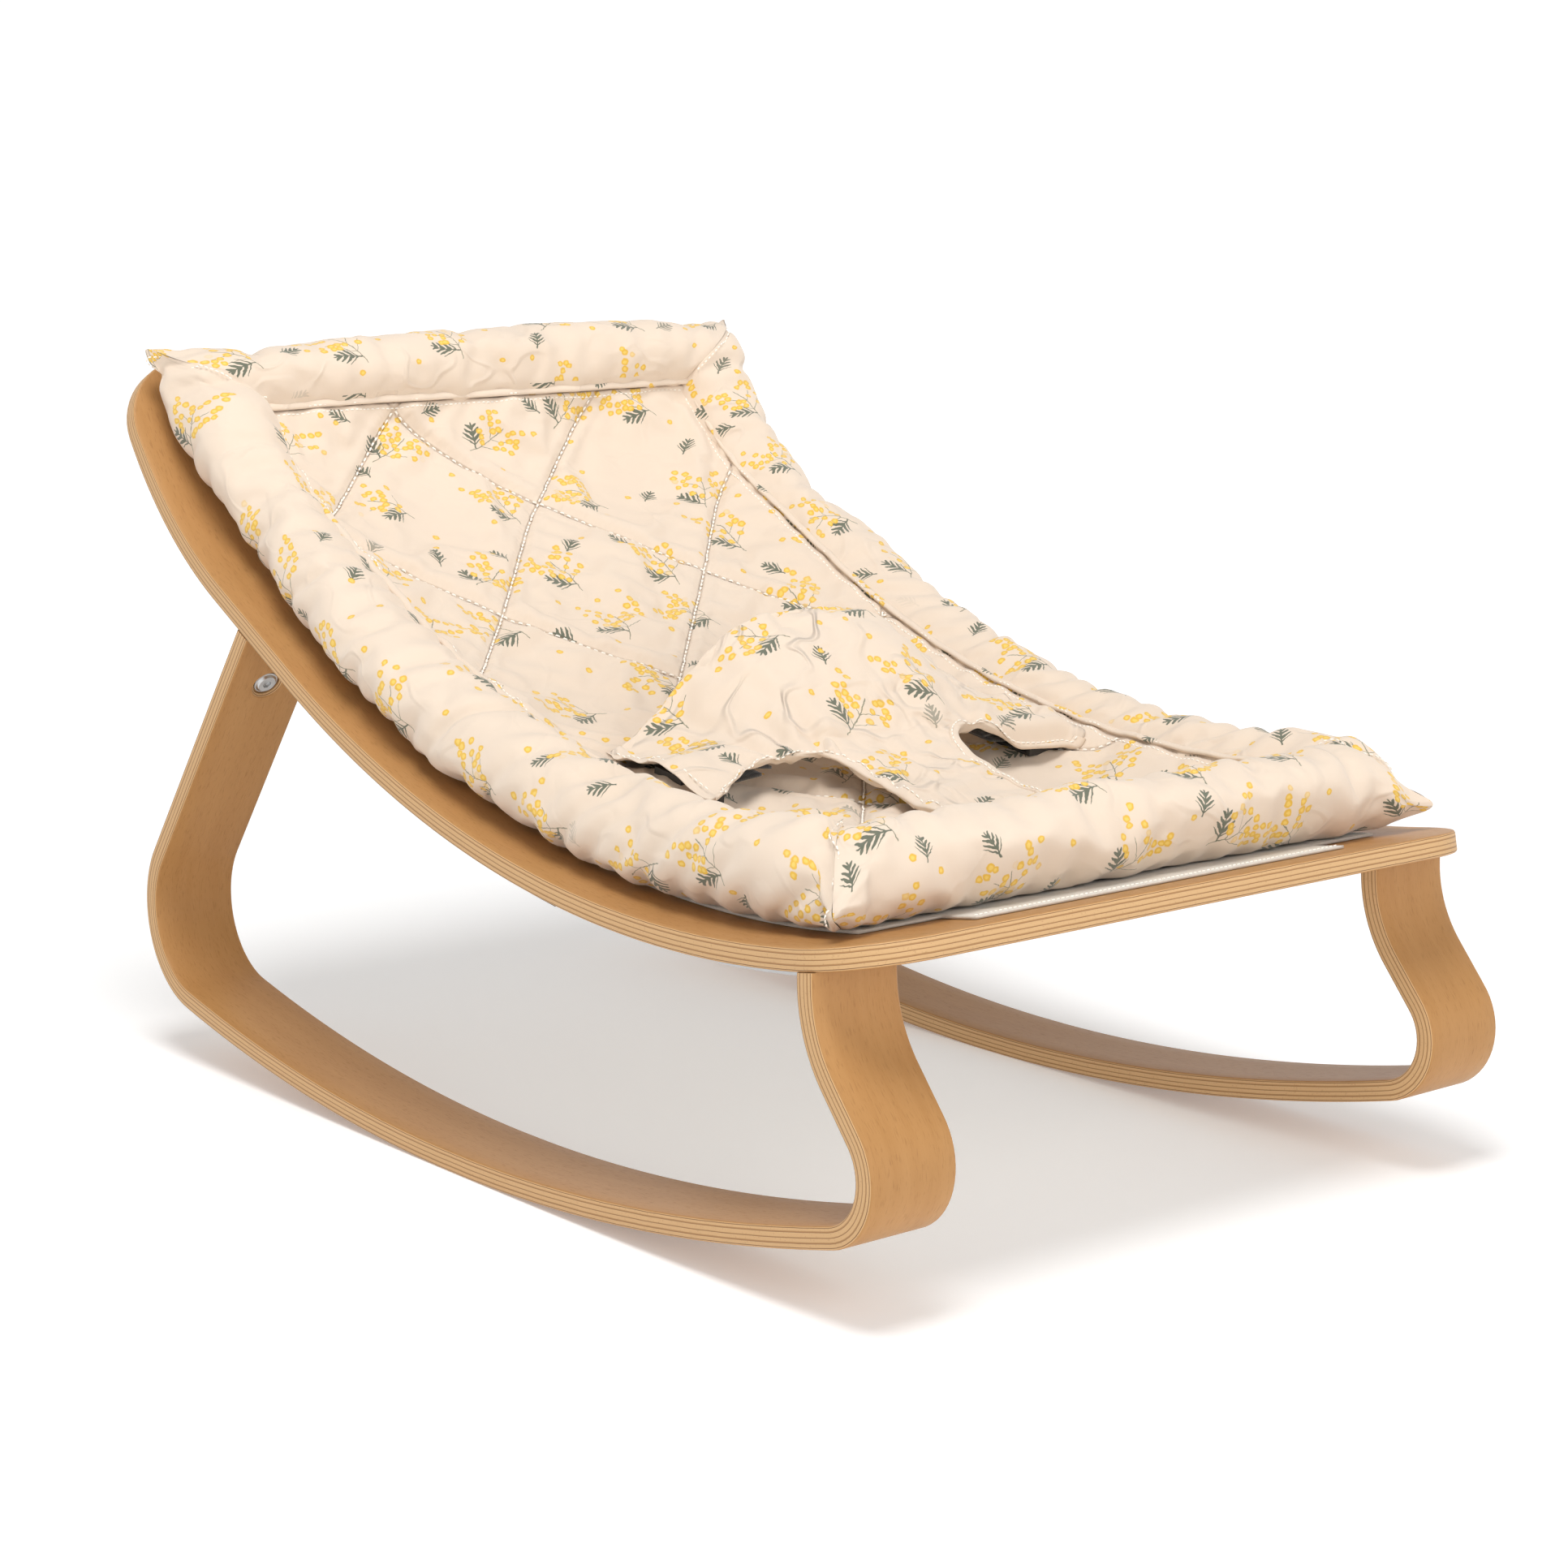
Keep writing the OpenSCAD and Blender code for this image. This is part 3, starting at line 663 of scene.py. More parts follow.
def cloth_material(name, light, dark, thread):
    made, g, out = material(name, Roughness=0.9, Sheen_Weight=0.2, Sheen_Roughness=0.5)
    out["Specular IOR Level"].default_value = 0.2
    cloth = g.cloth()
    weave = weave_height(g, cloth, thread)
    slub = g.noise(cloth, 300.0, 3.0)
    tone = g.add(g.mul(weave, 0.4), g.mul(slub, 0.6))
    g.put(out["Base Color"], g.mix(tone, dark, light))
    g.put(out["Normal"], g.bump(tone, 0.35, 0.0003))
    return made


def webbing_material():
    made, g, out = material("black_webbing", Roughness=0.7, Sheen_Weight=0.3)
    x, y, _ = g.split(g.cloth())
    rib = g.size(g.sine(g.mul(y, math.pi / 0.0011)))
    weft = g.size(g.sine(g.mul(g.add(x, y), math.pi / 0.0014)))
    height = g.add(g.mul(rib, 0.7), g.mul(weft, 0.3))
    g.put(out["Base Color"], g.mix(height, grey(0.008), grey(0.03)))
    g.put(out["Normal"], g.bump(height, 0.6, 0.0003))
    return made


def solid_material(name, colour, worn, metal, rough, scale):
    """A hard finish: colour and roughness drift slightly, with fine surface texture."""
    made, g, out = material(name, Metallic=metal)
    place = g.node("TexCoord").outputs["Object"]
    drift = g.noise(place, scale, 3.0)
    fine = g.noise(place, scale * 12, 3.0)
    g.put(out["Base Color"], g.mix(drift, colour, worn))
    g.put(out["Roughness"], g.add(rough, g.mul(fine, 0.12)))
    g.put(out["Normal"], g.bump(fine, 0.1, 0.0002))
    return made


# each hard finish: colour, worn colour, metal, roughness, how fine its texture is
FINISHES = {
    "hook_tape": (srgb(96, 94, 92), srgb(60, 58, 56), 0.0, 0.75, 900.0),
    "bracket_steel": (grey(0.55), grey(0.42), 1.0, 0.34, 60.0),
    "fastener_steel": (grey(0.62), grey(0.5), 1.0, 0.24, 120.0),
    "insert_brass": (srgb(214, 184, 112), srgb(184, 148, 82), 1.0, 0.32, 90.0),
    "buckle_plastic": (grey(0.02), grey(0.03), 0.0, 0.42, 80.0),
    "button_plastic": (srgb(176, 34, 30), srgb(150, 26, 24), 0.0, 0.38, 80.0),
}
cotton_print = print_group(motif_group())
MATERIAL = {
    "plywood": wood_material(),
    "printed_cotton": print_material(cotton_print, "printed_cotton", 0.35),
    "quilted_cotton": print_material(cotton_print, "quilted_cotton", 0.15, quilted=True),
    "creased_cotton": print_material(cotton_print, "creased_cotton", 0.9),
    "sling_fabric": cloth_material("sling_fabric", srgb(226, 220, 210), srgb(196, 188, 176),
                                   0.0006),
    "thread": cloth_material("thread", srgb(255, 251, 244), srgb(246, 238, 226), 0.0004),
    "black_webbing": webbing_material(),
    **{name: solid_material(name, *finish) for name, finish in FINISHES.items()},
}


def finish_piece(obj, body, slot, nodes=(), look=None):
    """Gives a piece its material, chosen by its slot or its look, parents it to its body, and hides
    the CAD nodes that it stands for.

    A piece of the harness's cloth has the body "harness_root": its transform is baked in instead,
    and it gets no body."""
    obj.data.materials.clear()
    obj.data.materials.append(MATERIAL[look or slot])
    if body == "harness_root":
        start, end = on_seat(0.0, ROOT_START, ROOT_H), on_seat(0.0, ROOT_END, ROOT_H)
        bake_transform(obj)
    else:
        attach(obj, body)
    if nodes:
        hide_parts(*nodes)
    return obj


# ---------------------------------------------------------------- plywood

def rounded_rectangle(half_x, s0, s1, r, arc_n, long_n, short_n):
    """A closed outline of [x, s], with the same number of points whatever its radius."""
    centres = [(half_x - r, s0 + r, -90), (half_x - r, s1 - r, 0),
               (r - half_x, s1 - r, 90), (r - half_x, s0 + r, 180)]
    points = []
    for k, (cx, cs, start) in enumerate(centres):
        turn = np.radians(start + np.linspace(0, 90, arc_n + 1))
        arc = np.stack([cx + r * np.cos(turn), cs + r * np.sin(turn)], 1)
        nx, ns, angle = centres[(k + 1) % 4]
        first = np.array([nx + r * math.cos(rad(angle)), ns + r * math.sin(rad(angle))])
        n = long_n if k % 2 == 0 else short_n
        along = np.linspace(0, 1, n + 1)[1:-1, None]
        points.append(arc)
        points.append(arc[-1] + (first - arc[-1]) * along)
    return np.concatenate(points)


def board_section(width, across_n):
    """The rounded section of a board: distances across it and depths, once around."""
    turn = np.radians(np.linspace(0, 90, 4))
    flat = np.linspace(ARRIS, width - ARRIS, across_n + 1)[1:-1]
    low_a, low_h = ARRIS * (1 - np.sin(turn)), ARRIS * (1 - np.cos(turn))
    top_a, top_h = low_a[::-1], PLY_T - low_h[::-1]
    across = np.concatenate([low_a, top_a, flat, width - low_a, width - top_a, flat[::-1]])
    depth = np.concatenate([low_h, top_h, 0 * flat + PLY_T, PLY_T - low_h, PLY_T - top_h, 0 * flat])
    return across, depth


def seat_ring():
    """The bent ring: its board's section carried round the outline and laid along the seat."""
    counts = (14, 84, 34)
    outer = rounded_rectangle(HALF_W, 0, SEAT_S, CORNER_R, *counts)
    inner = rounded_rectangle(INNER_X, RAIL_W, SEAT_S - RAIL_W, OPENING_R, *counts)
    way = inner - outer
    width = np.linalg.norm(way, axis=1)
    sections = [board_section(w, 9) for w in width]
    across = np.array([a for a, _ in sections])
    depth = np.array([h for _, h in sections])
    flat = outer[:, None, :] + (way / width[:, None])[:, None, :] * across[..., None]
    x, s = flat[..., 0], flat[..., 1]
    x, s, depth = (np.concatenate([q, q[:1]]) for q in (x, s, depth))
    points = on_seat(x, s, depth)
    faces, _, _ = grid_faces(len(points), points.shape[1], True)
    faces = [[f % ((len(points) - 1) * points.shape[1]) for f in face] for face in faces]
    obj = new_mesh("seat_ring", points[:-1], faces)
    set_vectors(obj, "board", np.stack([x, s, depth], -1)[:-1].reshape(-1, 3))
    return outward(smooth(obj, 40))


def half_path(stretches):
    return Path(FACET / 2, 0, FACET_TURN / 2, stretches)


FRONT_HALF, REAR_HALF = half_path(FRONT_STRETCHES), half_path(REAR_STRETCHES)
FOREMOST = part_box("rocker_left")[0].y
REST_Y = FOREMOST + max(FRONT_HALF.beside(np.linspace(0, FRONT_HALF.length, 4000), 0)[0])


def rocker_side(half, sign, depth):
    """One half of a rocker's band: distances along it, y and z, with its top cut to the seat."""
    marks = np.arange(0, half.length - 12 * MM, 4 * MM)
    s = np.repeat(marks[:, None], len(depth), 1)
    y, z = half.beside(s, depth[None, :])
    # each line of the section ends at the seat's underside, found by halving
    low, high = np.full(len(depth), -30 * MM), np.full(len(depth), 50 * MM)
    _, _, heading = half.at(half.length)
    by, bz = half.beside(np.full(len(depth), half.length), depth)
    for _ in range(30):
        t = (low + high) / 2
        py, pz = by + t * math.cos(heading), bz + t * math.sin(heading)
        points = np.stack([0 * py, REST_Y + sign * py, pz], 1)
        _, _, over = off_seat(points, np.full(len(depth), 0.05 if sign < 0 else 0.55))
        above = over > -0.1 * MM
        high, low = np.where(above, t, high), np.where(above, low, t)
    last_s = half.length + t
    keep = marks < last_s.min() - 3 * MM
    s = np.concatenate([s[keep], last_s[None, :]])
    y = np.concatenate([y[keep], py[None, :]])
    z = np.concatenate([z[keep], pz[None, :]])
    return sign * (s + FACET / 2), REST_Y + sign * y, z


def cut_hole(obj, centre, axis, radius, bevel, depth):
    """Cuts a bevelled round hole whose mouth is at centre and whose floor is depth along -axis."""
    rings = [(depth, radius), (bevel, radius), (-2 * MM, radius + bevel + 2 * MM)]
    n = 40
    turn = np.linspace(0, 2 * math.pi, n, endpoint=False)
    side = axis.orthogonal().normalized()
    other = axis.cross(side)
    points = []
    for level, r in rings:
        points += [centre - axis * level + (side * math.cos(a) + other * math.sin(a)) * r
                   for a in turn]
    faces = [[k * n + i, k * n + (i + 1) % n, (k + 1) * n + (i + 1) % n, (k + 1) * n + i]
             for k in range(len(rings) - 1) for i in range(n)]
    faces += [list(range(n))[::-1], [(len(rings) - 1) * n + i for i in range(n)]]
    cutter = outward(new_mesh("cutter", [list(p) for p in points], faces))
    change = obj.modifiers.new("hole", "BOOLEAN")
    change.object = cutter
    change.solver = "EXACT"
    bpy.context.view_layer.update()
    cut = bpy.data.meshes.new_from_object(obj.evaluated_get(bpy.context.evaluated_depsgraph_get()))
    obj.modifiers.clear()
    obj.data = cut
    bpy.data.objects.remove(cutter)


def rocker_band(side_sign, name):
    """A rocker's whole band, front and rear, with the counterbore of its rear bolt."""
    x0 = INNER_X if side_sign > 0 else -HALF_W
    across, depth = board_section(RAIL_W, 5)
    front = rocker_side(FRONT_HALF, -1, depth)
    rear = rocker_side(REAR_HALF, 1, depth)
    along, y, z = (np.concatenate([f[::-1], r]) for f, r in zip(front, rear))
    x = np.broadcast_to(x0 + across, y.shape)
    rows, cols = y.shape
    faces, _, _ = grid_faces(rows, cols, True)
    faces += [list(range(cols))[::-1], [(rows - 1) * cols + k for k in range(cols)]]
    obj = new_mesh(name, np.stack([x, y, z], -1), faces)
    board = np.stack([x, along, np.broadcast_to(depth, y.shape)], -1).reshape(-1, 3)
    set_vectors(obj, "board", board)
    outward(obj)
    py, pz, a = REAR_HALF.at(REAR_BOLT_S)
    axis = Vector((0, -math.sin(a), math.cos(a)))
    mouth = Vector((side_sign * LEG_X, REST_Y + py, pz)) + axis * PLY_T
    cut_hole(obj, mouth, axis, BOLT_HOLE_R, BOLT_HOLE_BEVEL, BOLT_HOLE_DEPTH)
    # the hole's own walls get their place in the board
    co = co_of(obj)
    off = co - np.array(mouth)
    near = np.linalg.norm(off, axis=1) < BOLT_HOLE_R * 1.6
    values = np.zeros(len(co) * 3, np.float32)
    obj.data.attributes["board"].data.foreach_get("vector", values)
    values = values.reshape(-1, 3)
    along_leg = np.array([0, math.cos(a), math.sin(a)])
    values[near, 0] = co[near, 0]
    values[near, 1] = REAR_BOLT_S + FACET / 2 + off[near] @ along_leg
    values[near, 2] = PLY_T + off[near] @ np.array(axis)
    set_vectors(obj, "board", values)
    return smooth(obj, 35)


finish_piece(seat_ring(), "rocker", "plywood", ["seat_frame"])
for side_sign, side in SIDES:
    finish_piece(rocker_band(side_sign, f"rocker_band_{side}"), "rocker", "plywood",
                 [f"rocker_{side}"])


# ---------------------------------------------------------------- hard parts, with eased edges

def eased(node, body, slot, width):
    """A CAD node's solids again, with their sharp edges rounded."""
    obj = new_object(f"{node}_eased", frame["nodes"][node].data.copy())
    with editing(obj) as bm:
        bmesh.ops.remove_doubles(bm, verts=bm.verts, dist=1e-6)
        bmesh.ops.dissolve_limit(bm, angle_limit=rad(1), verts=bm.verts, edges=bm.edges)
    smooth(obj, 30)
    change = obj.modifiers.new("eased", "BEVEL")
    change.width = width
    change.segments = 2
    change.limit_method = "ANGLE"
    change.angle_limit = rad(35)
    change.harden_normals = True
    return finish_piece(obj, body, slot, [node])


for side in ("left", "right"):
    for end in ("front", "rear"):
        eased(f"{end}_bracket_{side}", "rocker", "bracket_steel", 0.5 * MM)
    eased(f"buckle_socket_{side}", "rocker", "buckle_plastic", 0.8 * MM)
    eased(f"buckle_plug_{side}", "harness", "buckle_plastic", 0.5 * MM)
    eased(f"buckle_button_{side}", f"button_{side}", "button_plastic", 0.3 * MM)
for node in ("rear_leg_bolts", "rear_leg_nuts", "rear_leg_washers", "front_leg_bolts",
             "bracket_screws", "strap_screws"):
    eased(node, "rocker", "fastener_steel", 0.3 * MM)
eased("threaded_inserts", "rocker", "insert_brass", 0.2 * MM)


# ---------------------------------------------------------------- cushion

def corner_weight(x, s):
    """1 at the cushion's four outer corners, fading over about 30 mm."""
    total = 0 * x
    for cs, r in ((FOOT_S - ROLL_R, ROLL_R), (HEAD_S + HEAD_ROLL_R, HEAD_ROLL_R)):
        away = np.hypot(np.abs(x) - (SIDE_X + r), s - cs)
        total = total + bump(away, 24 * MM)
    return np.clip(total, 0, 1)


def settle(x, s, h):
    """The cushion's irregular set: corners drawn out to points, waisted sides, a tilted head."""
    g = corner_weight(x, s)
    foot = s < MIDDLE_S
    tip_h = np.where(foot, 19 * MM, 30 * MM)
    h = h + (tip_h - h) * np.where(foot, 0.72, 0.5) * g
    x = x + np.sign(x) * np.where(foot, 5, 3) * MM * g
    s = s + np.where(foot, -1, 1) * 4 * MM * g
    outer = ease((np.abs(x) - SEAM_X) / 0.03)
    waist = -9 * MM * bump(s - 0.592, 0.05) + 2 * MM * bump(s - 0.41, 0.08)
    waist = np.where(x < 0, waist, -3 * MM * bump(s - 0.56, 0.06))
    x = x + np.sign(x) * waist * outer
    head = ease((s - 0.66) / 0.04)
    lift = np.where(x < 0, 8 * MM * (x / 0.19) * ease((-x - 0.05) / 0.12), 6 * MM * x / 0.19)
    h = h + head * lift * np.clip((h - REST_H) / 0.03, 0, 1.2)
    return x, s, np.maximum(h, REST_H)


AROUND_N = 38
STEP = 4.6 * MM


def roll_section(r, centre_h):
    turn = SEAM_ANGLE - np.linspace(0, 2 * math.pi, AROUND_N, endpoint=False)
    return r * np.cos(turn), centre_h + 0.955 * r * np.sin(turn)


FOOT_SECTION = roll_section(ROLL_R, REST_H + 0.94 * ROLL_R)
HEAD_SECTION = roll_section(HEAD_ROLL_R, REST_H + 0.96 * HEAD_ROLL_R)


def roll(name, where):
    """One stuffed roll of the cushion's rim, mitred at its ends. Its section starts at the seam."""
    (foot_q, foot_h), (head_q, head_h) = FOOT_SECTION, HEAD_SECTION
    if where in ("left", "right"):
        sign = -1 if where == "left" else 1
        n = int((HEAD_S - FOOT_S) / STEP)
        t = np.linspace(0, 1, n)[:, None]
        blend = ease((t - 0.75) / 0.25)
        q = foot_q * (1 - blend) + head_q * blend
        h = foot_h * (1 - blend) + head_h * blend
        x = sign * (SIDE_X + q)
        s = (FOOT_S - foot_q) * (1 - t) + (HEAD_S + head_q) * t
    else:
        q, h = (foot_q, foot_h) if where == "foot" else (head_q, head_h)
        n = int(2 * SIDE_X / STEP)
        t = np.linspace(-1, 1, n)[:, None]
        x = (SIDE_X + q) * t
        s = np.broadcast_to(FOOT_S - q if where == "foot" else HEAD_S + q, x.shape)
        h = np.broadcast_to(h, x.shape)
    x, s, h = np.broadcast_arrays(x, s, h)
    around = np.linspace(0, 2 * math.pi * ROLL_R, AROUND_N + 1)
    wrap = lambda a: np.concatenate([a, a[:, :1]], 1)
    if where in ("left", "right"):
        u = sign * (SEAM_X + np.broadcast_to(around, (len(s), AROUND_N + 1)))
        v = wrap(s)
    else:
        u = wrap(x)
        v = np.broadcast_to(around, (len(s), AROUND_N + 1))
        v = FOOT_SEAM - v if where == "foot" else HEAD_SEAM + v
    x, s, h = settle(x, s, h)
    obj = grid_object(name, on_seat(x, s, h), u, v, around=True)
    ends = np.zeros(x.shape, bool)
    ends[0] = ends[-1] = True
    ends[:, 0] = True
    held = ends | (h < REST_H + 0.2 * MM)
    return obj, held.ravel().astype(float), s.ravel()


def quilt_offsets(x, s):
    """For each quilting line, which way it leans and how far off it a point lies."""
    length = math.hypot(1, QUILT_SLOPE)
    return [(sign, (s - sign * QUILT_SLOPE * x - c * MM) / length) for sign, c in QUILT_LINES]


PANEL_PUFF = 3.0 * MM
CREASE_DEPTH, CREASE_W = 4.4 * MM, 3.4 * MM
SAG_DEPTH, SAG_W = 4.2 * MM, 17 * MM
SHELF_RISE, SHELF_OFF, SHELF_W = 2.2 * MM, 9 * MM, 7 * MM
ROOT_DIP = 4.5 * MM


def panel_rise(x, s):
    """The panel's height: it climbs to the seams round it and dips along the quilting."""
    edge = np.minimum(SEAM_X - np.abs(x), np.minimum(s - FOOT_SEAM, HEAD_SEAM - s))
    seam_h = FOOT_SECTION[1][0]
    climb = (seam_h - PANEL_H) * np.exp(-np.maximum(edge, 0) / 0.019)
    fade = ease((edge - 0.002) / 0.012)
    dip, shelf = 0.0, 0.0
    for sign, off in quilt_offsets(x, s):
        dip = np.maximum(dip, CREASE_DEPTH * bump(off, CREASE_W) + SAG_DEPTH * bump(off, SAG_W))
        if sign < 0:
            shelf = shelf + SHELF_RISE * bump(off - SHELF_OFF, SHELF_W)
    root = ROOT_DIP * bump(s - 0.108, 0.011) * ease((0.05 - np.abs(x)) / 0.014)
    return PANEL_H + climb + fade * (PANEL_PUFF + shelf - dip) - root


def quilted_panel():
    """The panel's top, with the seams round it and its quilting lines held."""
    x_marks = np.linspace(-SEAM_X, SEAM_X, 76)
    s_marks = np.linspace(FOOT_SEAM, HEAD_SEAM, 152)
    s, x = np.meshgrid(s_marks, x_marks, indexing="ij")
    h = panel_rise(x, s)
    px, ps, ph = settle(x, s, h)
    obj = grid_object("quilted_panel_cloth", on_seat(px, ps, ph), x, s)
    border = (np.abs(x) > SEAM_X - 1e-5) | (s < FOOT_SEAM + 1e-5) | (s > HEAD_SEAM - 1e-5)
    off_line = np.min([np.abs(off) for _, off in quilt_offsets(x, s)], axis=0)
    held = border | (off_line < 2.2 * MM)
    return obj, held.ravel().astype(float), ps.ravel(), x.shape


def stuffed(obj, held, pressure, growth, bending=0.35):
    """Gives a piece its cloth simulation: inside pressure, slightly long cloth, held seams."""
    group = obj.vertex_groups.new(name="held")
    for k in np.nonzero(held > 0)[0]:
        group.add([int(k)], float(held[k]), "REPLACE")
    cloth = obj.modifiers.new("cloth", "CLOTH")
    settings = cloth.settings
    settings.vertex_group_mass = "held"
    settings.quality = 6
    settings.mass = 0.12
    settings.tension_stiffness = settings.compression_stiffness = 22
    settings.shear_stiffness = 8
    settings.bending_stiffness = bending
    settings.tension_damping = settings.compression_damping = 8
    settings.shear_damping = 6
    settings.bending_damping = 0.6
    settings.air_damping = 4
    settings.shrink_min = -growth
    settings.use_pressure = pressure > 0
    settings.uniform_pressure_force = pressure
    settings.effector_weights.gravity = 0
    cloth.collision_settings.use_collision = False
    cloth.point_cache.frame_start = 1
    cloth.point_cache.frame_end = 60


def run_cloth(pieces, frames):
    """Runs the pieces' simulations and keeps their last shapes, without the modifiers."""
    scene = bpy.context.scene
    for number in range(1, frames + 1):
        scene.frame_set(number)
    depsgraph = bpy.context.evaluated_depsgraph_get()
    shapes = {}
    for obj in pieces:
        shaped = obj.evaluated_get(depsgraph).to_mesh()
        co = np.zeros(len(shaped.vertices) * 3)
        shaped.vertices.foreach_get("co", co)
        shapes[obj] = co.reshape(-1, 3)
        obj.evaluated_get(depsgraph).to_mesh_clear()
    for obj, co in shapes.items():
        obj.modifiers.clear()
        set_co(obj, co)
    scene.frame_set(1)


def roughened(obj, seed, amount, size, across=1.0, along=1.0):
    """Starts the wrinkles: moves points a little along their normals."""
    co = co_of(obj)
    normals = np.zeros(len(co) * 3)
    obj.data.vertices.foreach_get("normal", normals)
    wave = waves(seed, 7, size * 0.7, size * 1.8)
    noise = wave(across * co[:, 0], along * (co[:, 1] + co[:, 2]))
    set_co(obj, co + normals.reshape(-1, 3) * (noise * amount)[:, None])


# how much each roll's cloth is longer than its form, and the stretch of its first wrinkles
ROLL_GROWTH = {"left": 0.075, "right": 0.075, "foot": 0.045, "head": 0.035}
LENGTHWAYS, CROSSWAYS = (0.4, 1.0), (1.0, 0.4)
CUSHION_FRAMES, HARNESS_FRAMES = 24, 16

rolls = {}
for name, where in (("side_roll_left", "left"), ("side_roll_right", "right"),
                    ("foot_roll", "foot"), ("head_roll", "head")):
    obj, held, guess = roll(name, where)
    outward(obj)
    rolls[where] = (obj, held, guess)
panel, panel_held, panel_guess, panel_shape = quilted_panel()
outward(panel)
for seed, (where, (obj, held, _)) in enumerate(rolls.items(), 1):
    stretch = LENGTHWAYS if where in ("left", "right") else CROSSWAYS
    roughened(obj, seed, 0.7 * MM, 22 * MM, *stretch)
    stuffed(obj, held, 3.0, ROLL_GROWTH[where])
roughened(panel, 9, 0.6 * MM, 30 * MM)
stuffed(panel, panel_held, 2.0, 0.045)
run_cloth([item[0] for item in rolls.values()] + [panel], CUSHION_FRAMES)


def rest_on_seat(obj, guess):
    x, s, h = off_seat(co_of(obj), guess)
    set_co(obj, on_seat(x, s, np.maximum(h, REST_H)))


ROLL_NODES = {"left": "side_bolster_left", "right": "side_bolster_right",
              "foot": "foot_bolster", "head": "head_bolster"}
for where, (obj, _, guess) in rolls.items():
    rest_on_seat(obj, guess)
    subdivided(smooth(obj))
    finish_piece(obj, "rocker", "printed_cotton", [ROLL_NODES[where]])


def close_panel(obj, shape, guess):
    """Adds the panel's hidden underside, so that it is a closed form."""
    rows, cols = shape
    co = co_of(obj)
    x, s, _ = off_seat(co, guess)
    low = on_seat(x, s, np.full(len(x), REST_H))
    faces, _, _ = grid_faces(rows, cols, False)
    grid = np.arange(rows * cols).reshape(rows, cols)
    rim = np.concatenate([grid[0], grid[1:, -1], grid[-1, -2::-1], grid[-2:0:-1, 0]]).tolist()
    with editing(obj) as bm:
        layer = bm.loops.layers.uv.verify()
        added = [bm.verts.new(p) for p in low]
        bm.verts.ensure_lookup_table()
        quads = [[added[k] for k in face[::-1]] for face in faces]
        for a, b in zip(rim, rim[1:] + rim[:1]):
            quads.append([bm.verts[a], added[a], added[b], bm.verts[b]])
        for quad in quads:
            face = bm.faces.new(quad)
            for corner in face.loops:
                corner[layer].uv = (corner.vert.co.x, corner.vert.co.y)
        bmesh.ops.recalc_face_normals(bm, faces=bm.faces)


def make_room_for_buckles(obj, guess):
    """Presses the panel down round the two buckles, which leaves their buttons room to move."""
    x, s, h = off_seat(co_of(obj), guess)
    aside = np.abs(np.abs(x) - BUCKLE_X) - 9.5 * MM
    beyond = np.maximum(aside, np.abs(s - STRAP_S) - 10 * MM)
    set_co(obj, on_seat(x, s, np.minimum(h, BUCKLE_FLOOR + 1.1 * np.maximum(beyond, 0))))


make_room_for_buckles(panel, panel_guess)
panel_points = co_of(panel).reshape(panel_shape + (3,))
close_panel(panel, panel_shape, panel_guess)
subdivided(smooth(panel))
finish_piece(panel, "rocker", "printed_cotton", ["quilted_panel"], look="quilted_cotton")


# ---------------------------------------------------------------- stitches, seams and bindings

def seat_up(s):
    """The direction out of the seat at s."""
    _, _, a = SEAT.at(s)
    return np.stack([0 * a, -np.sin(a), np.cos(a)], -1)


def panel_at(x, s):
    """Points of the finished quilted panel's top, between the points of its grid."""
    rows, cols = panel_shape
    r = np.clip((s - FOOT_SEAM) / (HEAD_SEAM - FOOT_SEAM) * (rows - 1), 0, rows - 1.001)
    c = np.clip((x + SEAM_X) / (2 * SEAM_X) * (cols - 1), 0, cols - 1.001)
    i, j = r.astype(int), c.astype(int)
    fr, fc = (r - i)[:, None], (c - j)[:, None]
    g = panel_points
    return ((g[i, j] * (1 - fc) + g[i, j + 1] * fc) * (1 - fr)
            + (g[i + 1, j] * (1 - fc) + g[i + 1, j + 1] * fc) * fr)


def spaced(line, gap):
    """Points along a polyline, gap apart."""
    run = run_of(line)
    return at_marks(line, run, np.arange(gap / 2, run[-1], gap))


# a stitch's rings: place along it, radius and rise, the last two in its thickness
STITCH_RINGS = ((-0.5, 0.3, -0.4), (-0.3, 1, 0.25), (0.3, 1, 0.25), (0.5, 0.3, -0.4))


THREAD_SIDES = 5
SEAM_STITCH = {"gap": 3.2 * MM, "length": 2.2 * MM}
HEM_STITCH = {"gap": 3.0 * MM, "length": 2.2 * MM}
SLEEVE_STITCH = {"gap": 4.2 * MM, "length": 3.0 * MM}
QUILT_STITCH = {"gap": 4.6 * MM, "length": 3.0 * MM, "thick": 0.65 * MM}


